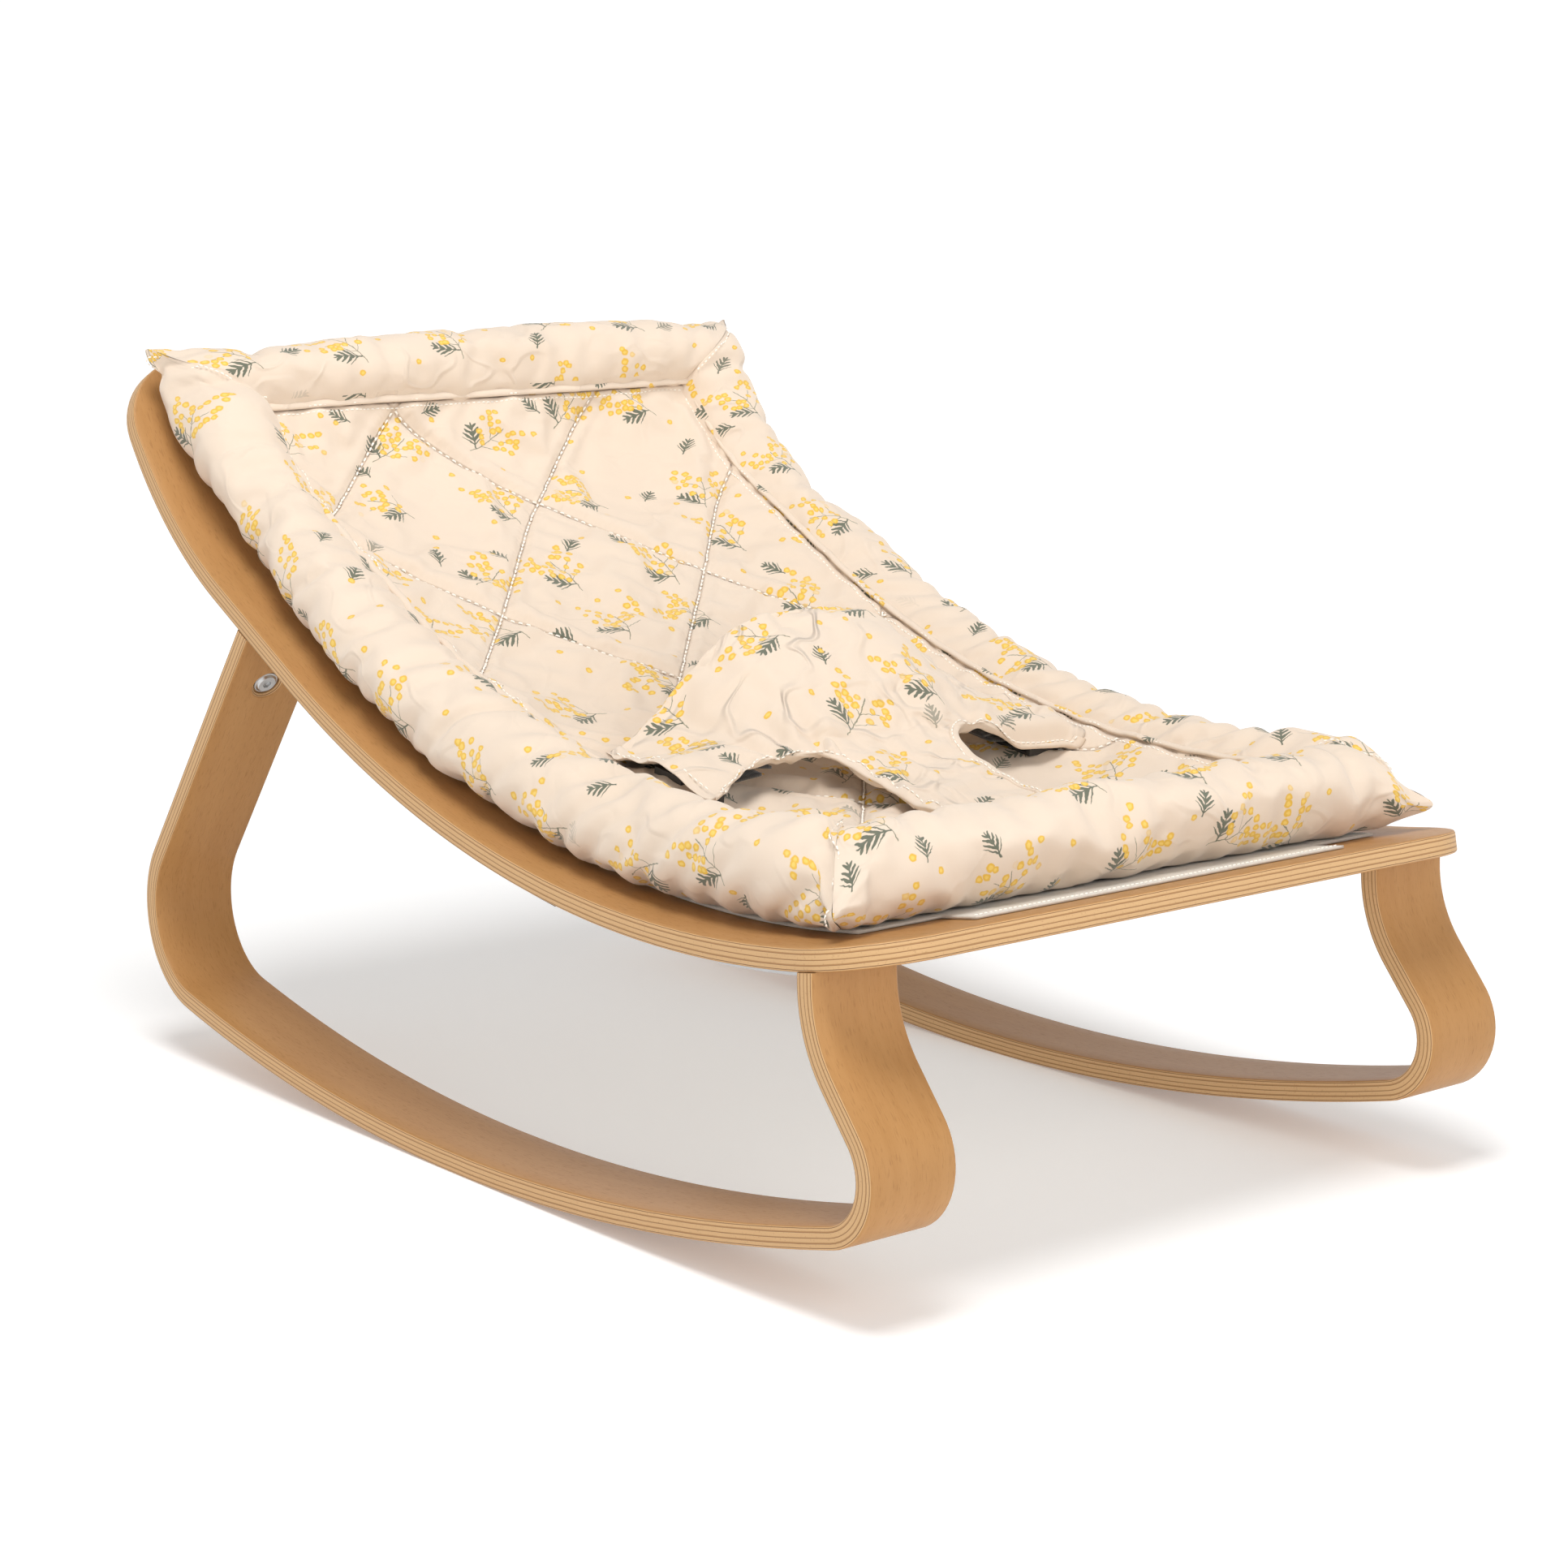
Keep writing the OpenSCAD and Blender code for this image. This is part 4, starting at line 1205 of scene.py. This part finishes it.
class Stitches:
    """Collects stitches, each a small raised loop of thread, into one mesh."""

    def __init__(self):
        self.points, self.faces = [], []

    def add(self, line, up, gap=3.5 * MM, length=2.5 * MM, thick=0.42 * MM, ups=False):
        """Stitches along a line. up is one direction, or with ups one for each point."""
        line = np.asarray(line)
        places = spaced(line, gap)
        if len(places) < 3:
            return
        if ups:
            nearest = [int(np.argmin(np.linalg.norm(line - p, axis=1))) for p in places]
            up = np.asarray(up)[nearest]
        way = unit(np.gradient(places, axis=0))
        side = unit(np.cross(way, np.broadcast_to(up, places.shape)))
        up = np.cross(side, way)
        n = THREAD_SIDES
        turn = [2 * math.pi * k / n for k in range(n)]
        for p, w, u, b in zip(places, way, up, side):
            start = len(self.points)
            self.points += [p + w * t * length + u * (rise + r * math.sin(a)) * thick
                            + b * r * math.cos(a) * thick
                            for t, r, rise in STITCH_RINGS for a in turn]
            rings = [list(range(q, q + n)) for q in range(start, len(self.points), n)]
            for low, high in zip(rings, rings[1:]):
                self.faces += [[low[k], low[(k + 1) % n], high[(k + 1) % n], high[k]]
                               for k in range(n)]
            self.faces += [rings[0][::-1], rings[-1]]

    def piece(self, name, body, slot):
        obj = new_mesh(name, self.points, self.faces,
                       [(0.0, 0.0)] * sum(len(f) for f in self.faces))
        return finish_piece(smooth(obj), body, slot, look="thread")


def sweep(name, line, out, up, section, closed=False):
    """A section of (outward, up) distances carried along a line."""
    line, out, up = (np.asarray(a) for a in (line, out, up))
    points = (line[:, None, :] + out[:, None, :] * section[None, :, 0, None]
              + up[:, None, :] * section[None, :, 1, None])
    if closed:
        points = np.concatenate([points, points[:1]])
    girth = run_of(np.concatenate([section, section[:1]]))
    u = np.broadcast_to(girth, (len(points), len(girth)))
    v = np.broadcast_to(run_of(points[:, 0])[:, None], u.shape)
    obj = grid_object(name, points, u, v, around=True)
    if closed:
        with editing(obj) as bm:
            bmesh.ops.remove_doubles(bm, verts=bm.verts, dist=1e-7)
    return outward(smooth(obj))


def oval(wide, tall, n=10):
    """A section for sweep. wide and tall are half its width and half its height."""
    a = np.linspace(0, 2 * math.pi, n, endpoint=False)
    return np.stack([wide * np.cos(a), tall * np.sin(a)], 1)


def seam_path(inset):
    """Seat coordinates of a rectangle that lies inset inside the seam round the panel."""
    x1, s0, s1 = SEAM_X - inset, FOOT_SEAM + inset, HEAD_SEAM - inset
    corners = np.array([(-x1, s0), (x1, s0), (x1, s1), (-x1, s1), (-x1, s0)])
    sides = []
    for a, b in zip(corners, corners[1:]):
        n = int(np.linalg.norm(b - a) / 0.004)
        sides.append(a + (b - a) * np.linspace(0, 1, n, endpoint=False)[:, None])
    return np.concatenate(sides)


seam = seam_path(0.3 * MM)
seam_points = panel_at(seam[:, 0], seam[:, 1])
seam_ups = seat_up(seam[:, 1])
seam_way = np.roll(seam_points, -1, 0) - np.roll(seam_points, 1, 0)
seam_out = unit(np.cross(seam_way, seam_ups))
piping = sweep("seam_ridge", seam_points + seam_out * 0.5 * MM + seam_ups * 0.3 * MM,
               seam_out, seam_ups, oval(2.6 * MM, 1.5 * MM), closed=True)
finish_piece(piping, "rocker", "printed_cotton")

PANEL_UP = (0, -0.3, 1)
cushion_thread = Stitches()
for inset in (1.6 * MM, 5.2 * MM):
    border = seam_path(inset)
    lift = 1.2 * MM if inset < 2 * MM else 0.0
    line = panel_at(border[:, 0], border[:, 1]) + seat_up(border[:, 1]) * lift
    cushion_thread.add(line, PANEL_UP, **SEAM_STITCH)
for sign, c in QUILT_LINES:
    x = np.linspace(-SEAM_X + 0.004, SEAM_X - 0.004, 300)
    s = sign * QUILT_SLOPE * x + c * MM
    inside = (s > FOOT_SEAM + 0.006) & (s < HEAD_SEAM - 0.006)
    if inside.sum() > 5:
        line = panel_at(x[inside], s[inside]) + seat_up(s[inside]) * 1.0 * MM
        cushion_thread.add(line, PANEL_UP, **QUILT_STITCH)
for where in ("left", "right"):
    ring_rows = co_of(rolls[where][0]).reshape(-1, AROUND_N, 3)
    for ring in (ring_rows[1], ring_rows[-2]):
        over_top = ring[1:20]
        cushion_thread.add(over_top + (over_top - ring.mean(0)) * 0.02, over_top - ring.mean(0),
                           ups=True, **SEAM_STITCH)
cushion_thread.piece("cushion_stitching", "rocker", "printed_cotton")


# ---------------------------------------------------------------- sling and its flaps

SHEET_H = 12.0 * MM
SHEET_X = 172 * MM
TAB_X = 123 * MM
TAB_S = 22 * MM
TAB_END = 46 * MM
CLOTH_T = 1.4 * MM
FLAP_TIP = 28 * MM


def thickened(obj, thickness):
    change = obj.modifiers.new("cloth_thickness", "SOLIDIFY")
    change.thickness = thickness
    change.offset = 0
    return obj


def sling_sheet():
    cols = 61
    tab = np.array([22, 28, 34, 40, 45.8]) * MM
    s_marks = np.concatenate([tab, np.linspace(46.2 * MM, SEAT_S - 46.2 * MM, 90),
                              SEAT_S - tab[::-1]])
    half = np.where((s_marks < TAB_END) | (s_marks > SEAT_S - TAB_END), TAB_X, SHEET_X)
    s = np.repeat(s_marks[:, None], cols, 1)
    x = half[:, None] * np.linspace(-1, 1, cols)
    from_end = np.minimum(s, SEAT_S - s) - RAIL_W
    inside = ease((INNER_X - np.abs(x)) / 0.05) * ease(from_end / 0.06)
    ripple = waves(21, 5, 0.05, 0.16)(x * 2.2, s * 0.4)
    h = SHEET_H - inside * (2.2 * MM + 0.35 * MM * ripple)
    obj = thickened(smooth(grid_object("sling_cloth", on_seat(x, s, h), x, s)), CLOTH_T)
    finish_piece(obj, "rocker", "sling_fabric", ["sling_sheet"])


def flap_profile(inner, tip):
    """Distances in from the bar's inner edge and heights: down the edge, then under the bar."""
    turn = np.radians(np.linspace(0, 90, 5))
    r = 1.6 * MM
    down = [(0.0, h * MM) for h in (11.2, 8, 4, 1, -0.6)]
    bend = [(r * (1 - math.cos(a)), -0.7 * MM - r * math.sin(a)) for a in turn]
    under = [(d, -2.3 * MM) for d in np.linspace(r + 1 * MM, inner - tip, 9)]
    return np.array(down + bend + under)


def flap(name, node, width, start, tip, place):
    """A flap of the sling. place turns (along the edge, away from it) to x and s."""
    profile = flap_profile(start, tip)
    span = start - tip
    r, cols = 12 * MM, 70
    to_tip = span - profile[:, 0]
    short = np.where(to_tip < r, r - np.sqrt(np.maximum(r * r - (r - to_tip) ** 2, 0)), 0)
    half = width / 2 - short
    across = np.linspace(-1, 1, cols) * half[:, None]
    away = np.repeat(profile[:, :1], cols, 1)
    gathers = 0.25 * MM * np.abs(np.sin(across / 0.011)) * (away > 3 * MM)
    high = np.repeat(profile[:, 1:], cols, 1) - gathers
    x, s = place(across, away)
    along = np.repeat(run_of(profile)[:, None], cols, 1)
    obj = grid_object(name, on_seat(x, s, high), across, along)
    finish_piece(thickened(smooth(obj), CLOTH_T), "rocker", "sling_fabric", [node])
    edge = on_seat(x, s, high - 0.8 * MM)[-3]
    sling_thread.add(edge, (0, 0, -1), **HEM_STITCH)


sling_thread = Stitches()
sling_sheet()
END_EDGE = 51.2 * MM
SIDE_EDGE = 158.8 * MM
for side, edge_s, way in (("foot", END_EDGE, -1), ("head", SEAT_S - END_EDGE, 1)):
    flap(f"{side}_flap", f"sling_{side}_flap", 2 * TAB_X, END_EDGE, FLAP_TIP,
         lambda along, away: (along, edge_s + way * away))
for side_sign, side in SIDES:
    flap(f"side_flap_{side}", f"sling_side_flap_{side}", 0.37, 184 * MM, SIDE_EDGE,
         lambda along, away: (side_sign * (SIDE_EDGE + away), along + 335 * MM))
for end_s in (TAB_S + 3.5 * MM, SEAT_S - TAB_S - 3.5 * MM):
    hem = on_seat(np.linspace(-TAB_X + 2 * MM, TAB_X - 2 * MM, 80), end_s, SHEET_H + 0.8 * MM)
    sling_thread.add(hem, (0, 0, 1), **HEM_STITCH)
sling_thread.piece("sling_stitching", "rocker", "sling_fabric")

# ---------------------------------------------------------------- webbing

WEB_W = 25 * MM
WEB_COLS = 9


def rounded_line(corners, r, n=5):
    """A polyline in (x, h) with its corners rounded."""
    corners = [np.array(c) * MM for c in corners]
    line = [corners[0]]
    for a, b, c in zip(corners, corners[1:], corners[2:]):
        p, q = b + (a - b) / np.linalg.norm(a - b) * r, b + (c - b) / np.linalg.norm(c - b) * r
        for t in np.linspace(0, 1, n):
            line.append((1 - t) ** 2 * p + 2 * t * (1 - t) * b + t * t * q)
    line.append(corners[-1])
    return np.array(line)


def webbing(name, body, node, side_sign, corners):
    """Webbing bent along a line across the seat, straight along it."""
    line = rounded_line(corners, 2 * MM)
    run = run_of(line)
    marks = np.linspace(0, run[-1], int(run[-1] / (2 * MM)) + 2)
    x, h = at_marks(line, run, marks).T
    across = np.linspace(-WEB_W / 2, WEB_W / 2, WEB_COLS)
    xx, hh, v = (np.repeat(a[:, None], WEB_COLS, 1) for a in (x, h, marks))
    ss, u = (np.broadcast_to(a, xx.shape) for a in (STRAP_S + across, across))
    obj = grid_object(name, on_seat(side_sign * xx, ss, hh), u, v)
    finish_piece(thickened(smooth(obj), CLOTH_T), body, "black_webbing", [node])


for side_sign, side in SIDES:
    webbing(f"seat_web_{side}", "rocker", f"seat_strap_{side}", side_sign,
            [(201, -4.2), (148.2, -4.2), (148.2, 40), (134, 40)])
    webbing(f"wing_web_{side}", "harness", f"wing_strap_{side}", side_sign,
            [(72, 50), (96, 53.2), (106.7, 53.2), (106.7, 45.6), (92, 45.6), (78, 47)])


# ---------------------------------------------------------------- harness

RISE = np.array([(100, 36.6), (125, 37.6), (150, 40), (180, 46), (210, 52), (240, 60.5), (270, 77),
                 (300, 91), (325, 98), (345, 99)]) * MM


def harness_outline():
    """Left and right edges of the T from the seam up, and the middle's distance along the seat."""
    strap = [(-38, 105), (-38, 130), (-38, 160), (-38, 190), (-40, 215)]
    hole = [(-45, 228), (-57, 234), (-76, 236), (-93, 234), (-112, 222), (-131, 210)]
    wing = [(-134, 225), (-135.5, 245), (-136.5, 265), (-137, 285), (-137, 297)]
    strap_r = [(-x, s) for x, s in strap]
    hole_r = [(45, 230), (56, 237), (75, 235), (97, 229), (120, 227), (139, 227)]
    wing_r = [(141, 238), (142, 252), (142, 268), (141, 285), (139, 300)]
    middle = [105, 130, 160, 190, 215, 228, 240, 250, 258, 266, 275, 288, 301, 314, 327, 338]
    left = np.array(strap + hole + wing) * MM
    right = np.array(strap_r + hole_r + wing_r) * MM
    return left, right, np.array(middle) * MM, len(strap) + len(hole) - 1


def finer_curve(values, n):
    """A smooth curve through control values (Catmull-Rom)."""
    values = np.asarray(values, float)
    padded = np.concatenate([[2 * values[0] - values[1]], values, [2 * values[-1] - values[-2]]])
    t = np.linspace(0, len(values) - 1 - 1e-9, n)
    i = t.astype(int)
    f = (t - i)[:, None] if values.ndim > 1 else t - i
    p0, p1, p2, p3 = padded[i], padded[i + 1], padded[i + 2], padded[i + 3]
    return 0.5 * (2 * p1 + (p2 - p0) * f + (2 * p0 - 5 * p1 + 4 * p2 - p3) * f ** 2
                  + (3 * p1 - p0 - 3 * p2 + p3) * f ** 3)


SLEEVE_H = 46.5 * MM
SLEEVE_FLOOR = 45.9 * MM
BUCKLE_TOP = 45.8 * MM


def harness_height(x, s):
    """The T's upper cloth: it climbs over the lap, falls to the buckles and lies on the panel."""
    rise = np.interp(s, RISE[:, 0], RISE[:, 1])
    end = SLEEVE_H + 10 * MM * bump(s - STRAP_S, 0.026)
    end = np.where(x > 0.1, end - 9 * MM * ease((x - 0.128) / 0.014), end)
    tucked = ease((x - 0.045) / 0.02) * (1 - ease((s - 0.2275) / 0.009))
    share = 1 - ease((np.abs(x - np.where(x > 0, 14, 6) * MM) - 0.020) / 0.105)
    h = end + (rise - end) * np.maximum(share, ease((0.215 - s) / 0.02))
    h = h + tucked * (38.5 * MM - h)
    lying = panel_rise(x, s) + 2.5 * MM * ease((s - 0.105) / 0.02)
    return np.maximum(h, lying)


# each fold: where it starts (x and s), its heading in degrees, its reach and its depth, in mm
FOLDS = ((-58, 235, 6, 52, 3.4), (-66, 236, 30, 44, 2.6), (-47, 231, -22, 40, 2.6),
         (-84, 236, 52, 34, 2.0), (58, 237, -38, 42, 2.4), (-108, 262, 80, 44, 1.5),
         (-24, 180, -34, 34, 1.3), (20, 262, -60, 50, 1.8), (-90, 285, 100, 40, 1.4))
FOLD_FACTOR = 1.5
GATHER_DEPTH = 2.1 * MM


def harness_creases(x, s):
    """Gathers where the right wing is drawn in, and folds that fan out from the leg holes."""
    gather = ease((x - 0.075) / 0.05) * ease((s - 0.235) / 0.015)
    h = GATHER_DEPTH * gather * np.sin(s / 0.0019 + 11 * x)
    for x0, s0, turn, reach, deep in FOLDS:
        dx, ds = x - x0 * MM, s - s0 * MM
        a = rad(turn)
        along = (-dx * math.sin(a) + ds * math.cos(a)) / (reach * MM)
        off = dx * math.cos(a) + ds * math.sin(a)
        width = (2.2 + 4.5 * np.clip(along, 0, 1)) * MM
        fade = ease(along / 0.12) * ease((1.15 - along) / 0.7)
        h = h - FOLD_FACTOR * deep * MM * fade * (bump(off, width)
                                                  - 0.55 * bump(off - 2 * width, width))
    return h


def make_harness():
    """The T as one closed form: an upper cloth, and a lower one that hangs below it by a gap."""
    left, right, middle, wing_from = harness_outline()
    rows, cols = 88, 60
    marks = len(middle)
    bl, br, mid = (finer_curve(a, rows) for a in (left, right, middle))
    open_row = int(rows * wing_from / (marks - 1))
    u = np.linspace(-1, 1, cols)
    row = np.arange(rows)
    power = np.interp(row, [0, open_row * 0.45, open_row, rows], [1, 1, 2.2, 2.2])[:, None]
    x = bl[:, :1] + (br[:, :1] - bl[:, :1]) * (u + 1) / 2
    end_s = np.where(u < 0, bl[:, 1:], br[:, 1:])
    s = mid[:, None] + (end_s - mid[:, None]) * np.abs(u) ** power
    top = harness_height(x, s)
    back = ease((rows - 1 - row) / 9)[:, None]
    sides = ease((1 - np.abs(u)) / 0.10)
    open_end = (ease((row - open_row) / 5) * ease((rows - 3 - row) / 8))[:, None]
    keep_open = np.where(u < 0, np.maximum(sides, open_end), sides)
    loft = np.interp(row, [0, open_row - 10, open_row + 8, rows], [3.6, 4.2, 8.5, 8.5])[:, None]
    gap = loft * MM * back * keep_open + 0.05 * MM
    wing = np.where(u < 0, ease((np.abs(x) - 0.09) / 0.03), 0) * open_end
    low = top - gap
    low = low * (1 - wing) + np.minimum(low, SLEEVE_FLOOR) * wing
    over_buckle = (x > 0.098) & (np.abs(s - STRAP_S) < 0.022)
    low = np.maximum(low, np.where(over_buckle, BUCKLE_TOP, panel_rise(x, s) + 0.6 * MM))
    low = np.minimum(low, top - 0.05 * MM)
    upper = grid_object("harness_cloth", on_seat(x, s, top), x, s)
    lower = on_seat(x, s, low).reshape(-1, 3)
    shared = np.zeros((rows, cols), bool)
    shared[0] = shared[-1] = shared[:, -1] = True
    shared[:open_row + 1, 0] = True
    shared = shared.ravel()
    flat_x, flat_s = x.ravel(), s.ravel()
    faces, _, _ = grid_faces(rows, cols, False)
    with editing(upper) as bm:
        layer = bm.loops.layers.uv.verify()
        above = list(bm.verts)
        below = [above[k] if shared[k] else bm.verts.new(lower[k]) for k in range(len(shared))]
        for face in faces:
            corners = [below[k] for k in face[::-1]]
            if len(set(corners)) < 3:
                continue
            made = bm.faces.new(corners)
            for corner, k in zip(made.loops, face[::-1]):
                corner[layer].uv = (flat_x[k] + 0.4, flat_s[k])
        bmesh.ops.recalc_face_normals(bm, faces=bm.faces)
    held = np.zeros((rows, cols))
    held[:6] = held[-1] = held[:, 0] = 1
    held[:, -6:] = 1
    held, flat_x, flat_s = (np.concatenate([a.ravel(), a.ravel()[~shared]])
                            for a in (held, flat_x, flat_s))
    return upper, held, np.array([flat_x, flat_s]), (rows, cols), open_row


harness, harness_held, harness_flat, harness_shape, wing_row = make_harness()
roughened(harness, 31, 0.5 * MM, 18 * MM)
stuffed(harness, harness_held, 0.2, 0.035, bending=0.15)
run_cloth([harness], HARNESS_FRAMES)
creased = seat_up(harness_flat[1]) * harness_creases(*harness_flat)[:, None]
set_co(harness, co_of(harness) + creased)
harness_top = co_of(harness)[:harness_shape[0] * harness_shape[1]].reshape(harness_shape + (3,))
subdivided(thickened(smooth(harness), 0.9 * MM))
finish_piece(harness, "harness_root", "printed_cotton", ["harness_panel"], look="creased_cotton")


def binding(name, edge, inner, width=6.5 * MM):
    """A folded binding sewn over an edge of the harness. inner is one point in from the edge."""
    run = run_of(edge)
    marks = np.linspace(0, run[-1], int(run[-1] / (3 * MM)))
    line = at_marks(edge, run, marks)
    inward = unit(at_marks(inner - edge, run, marks))
    up = unit(np.cross(np.gradient(line, axis=0), inward))
    up *= np.where(up[:, 2:] < 0, -1, 1)
    section = np.array([(width, 0.2 * MM), (width, 1.1 * MM), (0.5 * width, 1.5 * MM),
                        (0.1 * width, 1.4 * MM), (-0.9 * MM, 0), (0.1 * width, -1.4 * MM),
                        (0.5 * width, -1.5 * MM), (width, -1.1 * MM), (width, -0.2 * MM)])
    obj = subdivided(sweep(name, line, inward, up, section))
    finish_piece(obj, "harness_root", "printed_cotton")
    harness_thread.add(line + inward * (width - 1.2 * MM) + up * 1.5 * MM, up[:1].mean(0))


harness_thread = Stitches()
binding("leg_binding_left", harness_top[2:wing_row, 0], harness_top[2:wing_row, 2])
binding("leg_binding_right", harness_top[2:wing_row, -1], harness_top[2:wing_row, -3])
wing_edge = harness_top[wing_row + 2:-2, 0]
wing_in = harness_top[wing_row + 2:-2, 4]
hem_share = 9 * MM / np.linalg.norm(wing_in - wing_edge, axis=1)[:, None]
harness_thread.add(wing_edge + (wing_in - wing_edge) * hem_share + (0, 0, 0.5 * MM), (0, 0, 1),
                   **SLEEVE_STITCH)
harness_thread.piece("harness_stitching", "harness_root", "printed_cotton")


# ---------------------------------------------------------------- camera, floor and light

CAMERA_PLACE = (-1.1026, -1.36424, 0.5076)
CAMERA_TURN = rad(-39.241), rad(10.713)
CAMERA_LENS = 75.98
FLOOR_X = 30


def make_camera():
    azimuth, elevation = CAMERA_TURN
    right = Vector((math.cos(azimuth), math.sin(azimuth), 0))
    back = Vector((math.sin(azimuth) * math.cos(elevation),
                   -math.cos(azimuth) * math.cos(elevation), math.sin(elevation)))
    turn = Matrix((right, back.cross(right), back)).transposed().to_4x4()
    data = bpy.data.cameras.new("camera")
    data.lens = CAMERA_LENS
    data.sensor_width = 36
    camera = new_object("camera", data)
    camera.matrix_world = Matrix.Translation(CAMERA_PLACE) @ turn
    bpy.context.scene.camera = camera


def make_light(name, place, target, size, power):
    data = bpy.data.lights.new(name, "AREA")
    data.shape = "DISK"
    data.size = size
    data.energy = power
    light = new_object(name, data)
    light.location = place
    aim = Vector(target) - Vector(place)
    light.rotation_euler = aim.to_track_quat("-Z", "Y").to_euler()


def make_floor():
    corners = [(FLOOR_X * a, FLOOR_X * b, 0) for a, b in ((-1, -1), (1, -1), (1, 1), (-1, 1))]
    floor = new_mesh("floor", corners, [[0, 1, 2, 3]])
    made, g, out = material("floor_paint", Roughness=0.9)
    out["Specular IOR Level"].default_value = 0.1
    place = g.node("TexCoord").outputs["Object"]
    g.put(out["Base Color"], g.mix(g.noise(place, 3.0), grey(0.9), grey(0.92)))
    out["Emission Color"].default_value = grey(1)
    away = g.vec("LENGTH", place)
    g.put(out["Emission Strength"],
          g.add(0.2, g.mul(g.other(g.below(away, 1.5, 1.0)), 0.4)))
    floor.data.materials.append(made)


make_camera()
make_floor()
make_light("key", (-0.6, -0.5, 2.5), (0, 0, 0.15), 1.1, 38)
make_light("fill", (-0.3, -2.4, 1.2), (0, 0, 0.2), 2.0, 17)
world = bpy.data.worlds.new("studio")
world.use_nodes = True
sky = Graph(world.node_tree)
level = sky.split(sky.node("TexCoord").outputs["Generated"])[2]
backdrop = world.node_tree.nodes["Background"].inputs
backdrop[0].default_value = (1, 1, 1, 1)
sky.put(backdrop[1], sky.add(0.46, sky.mul(sky.below(level, 0.34, 0.12), 0.6)))
bpy.context.scene.world = world
bpy.context.scene.view_settings.view_transform = "Standard"

for node, obj in frame["nodes"].items():
    if not obj.hide_render:
        obj.data.materials.clear()
        slot = [p["material_slot"] for p in frame["record"]["subparts"] if p["node"] == node][0]
        obj.data.materials.append(MATERIAL[slot])
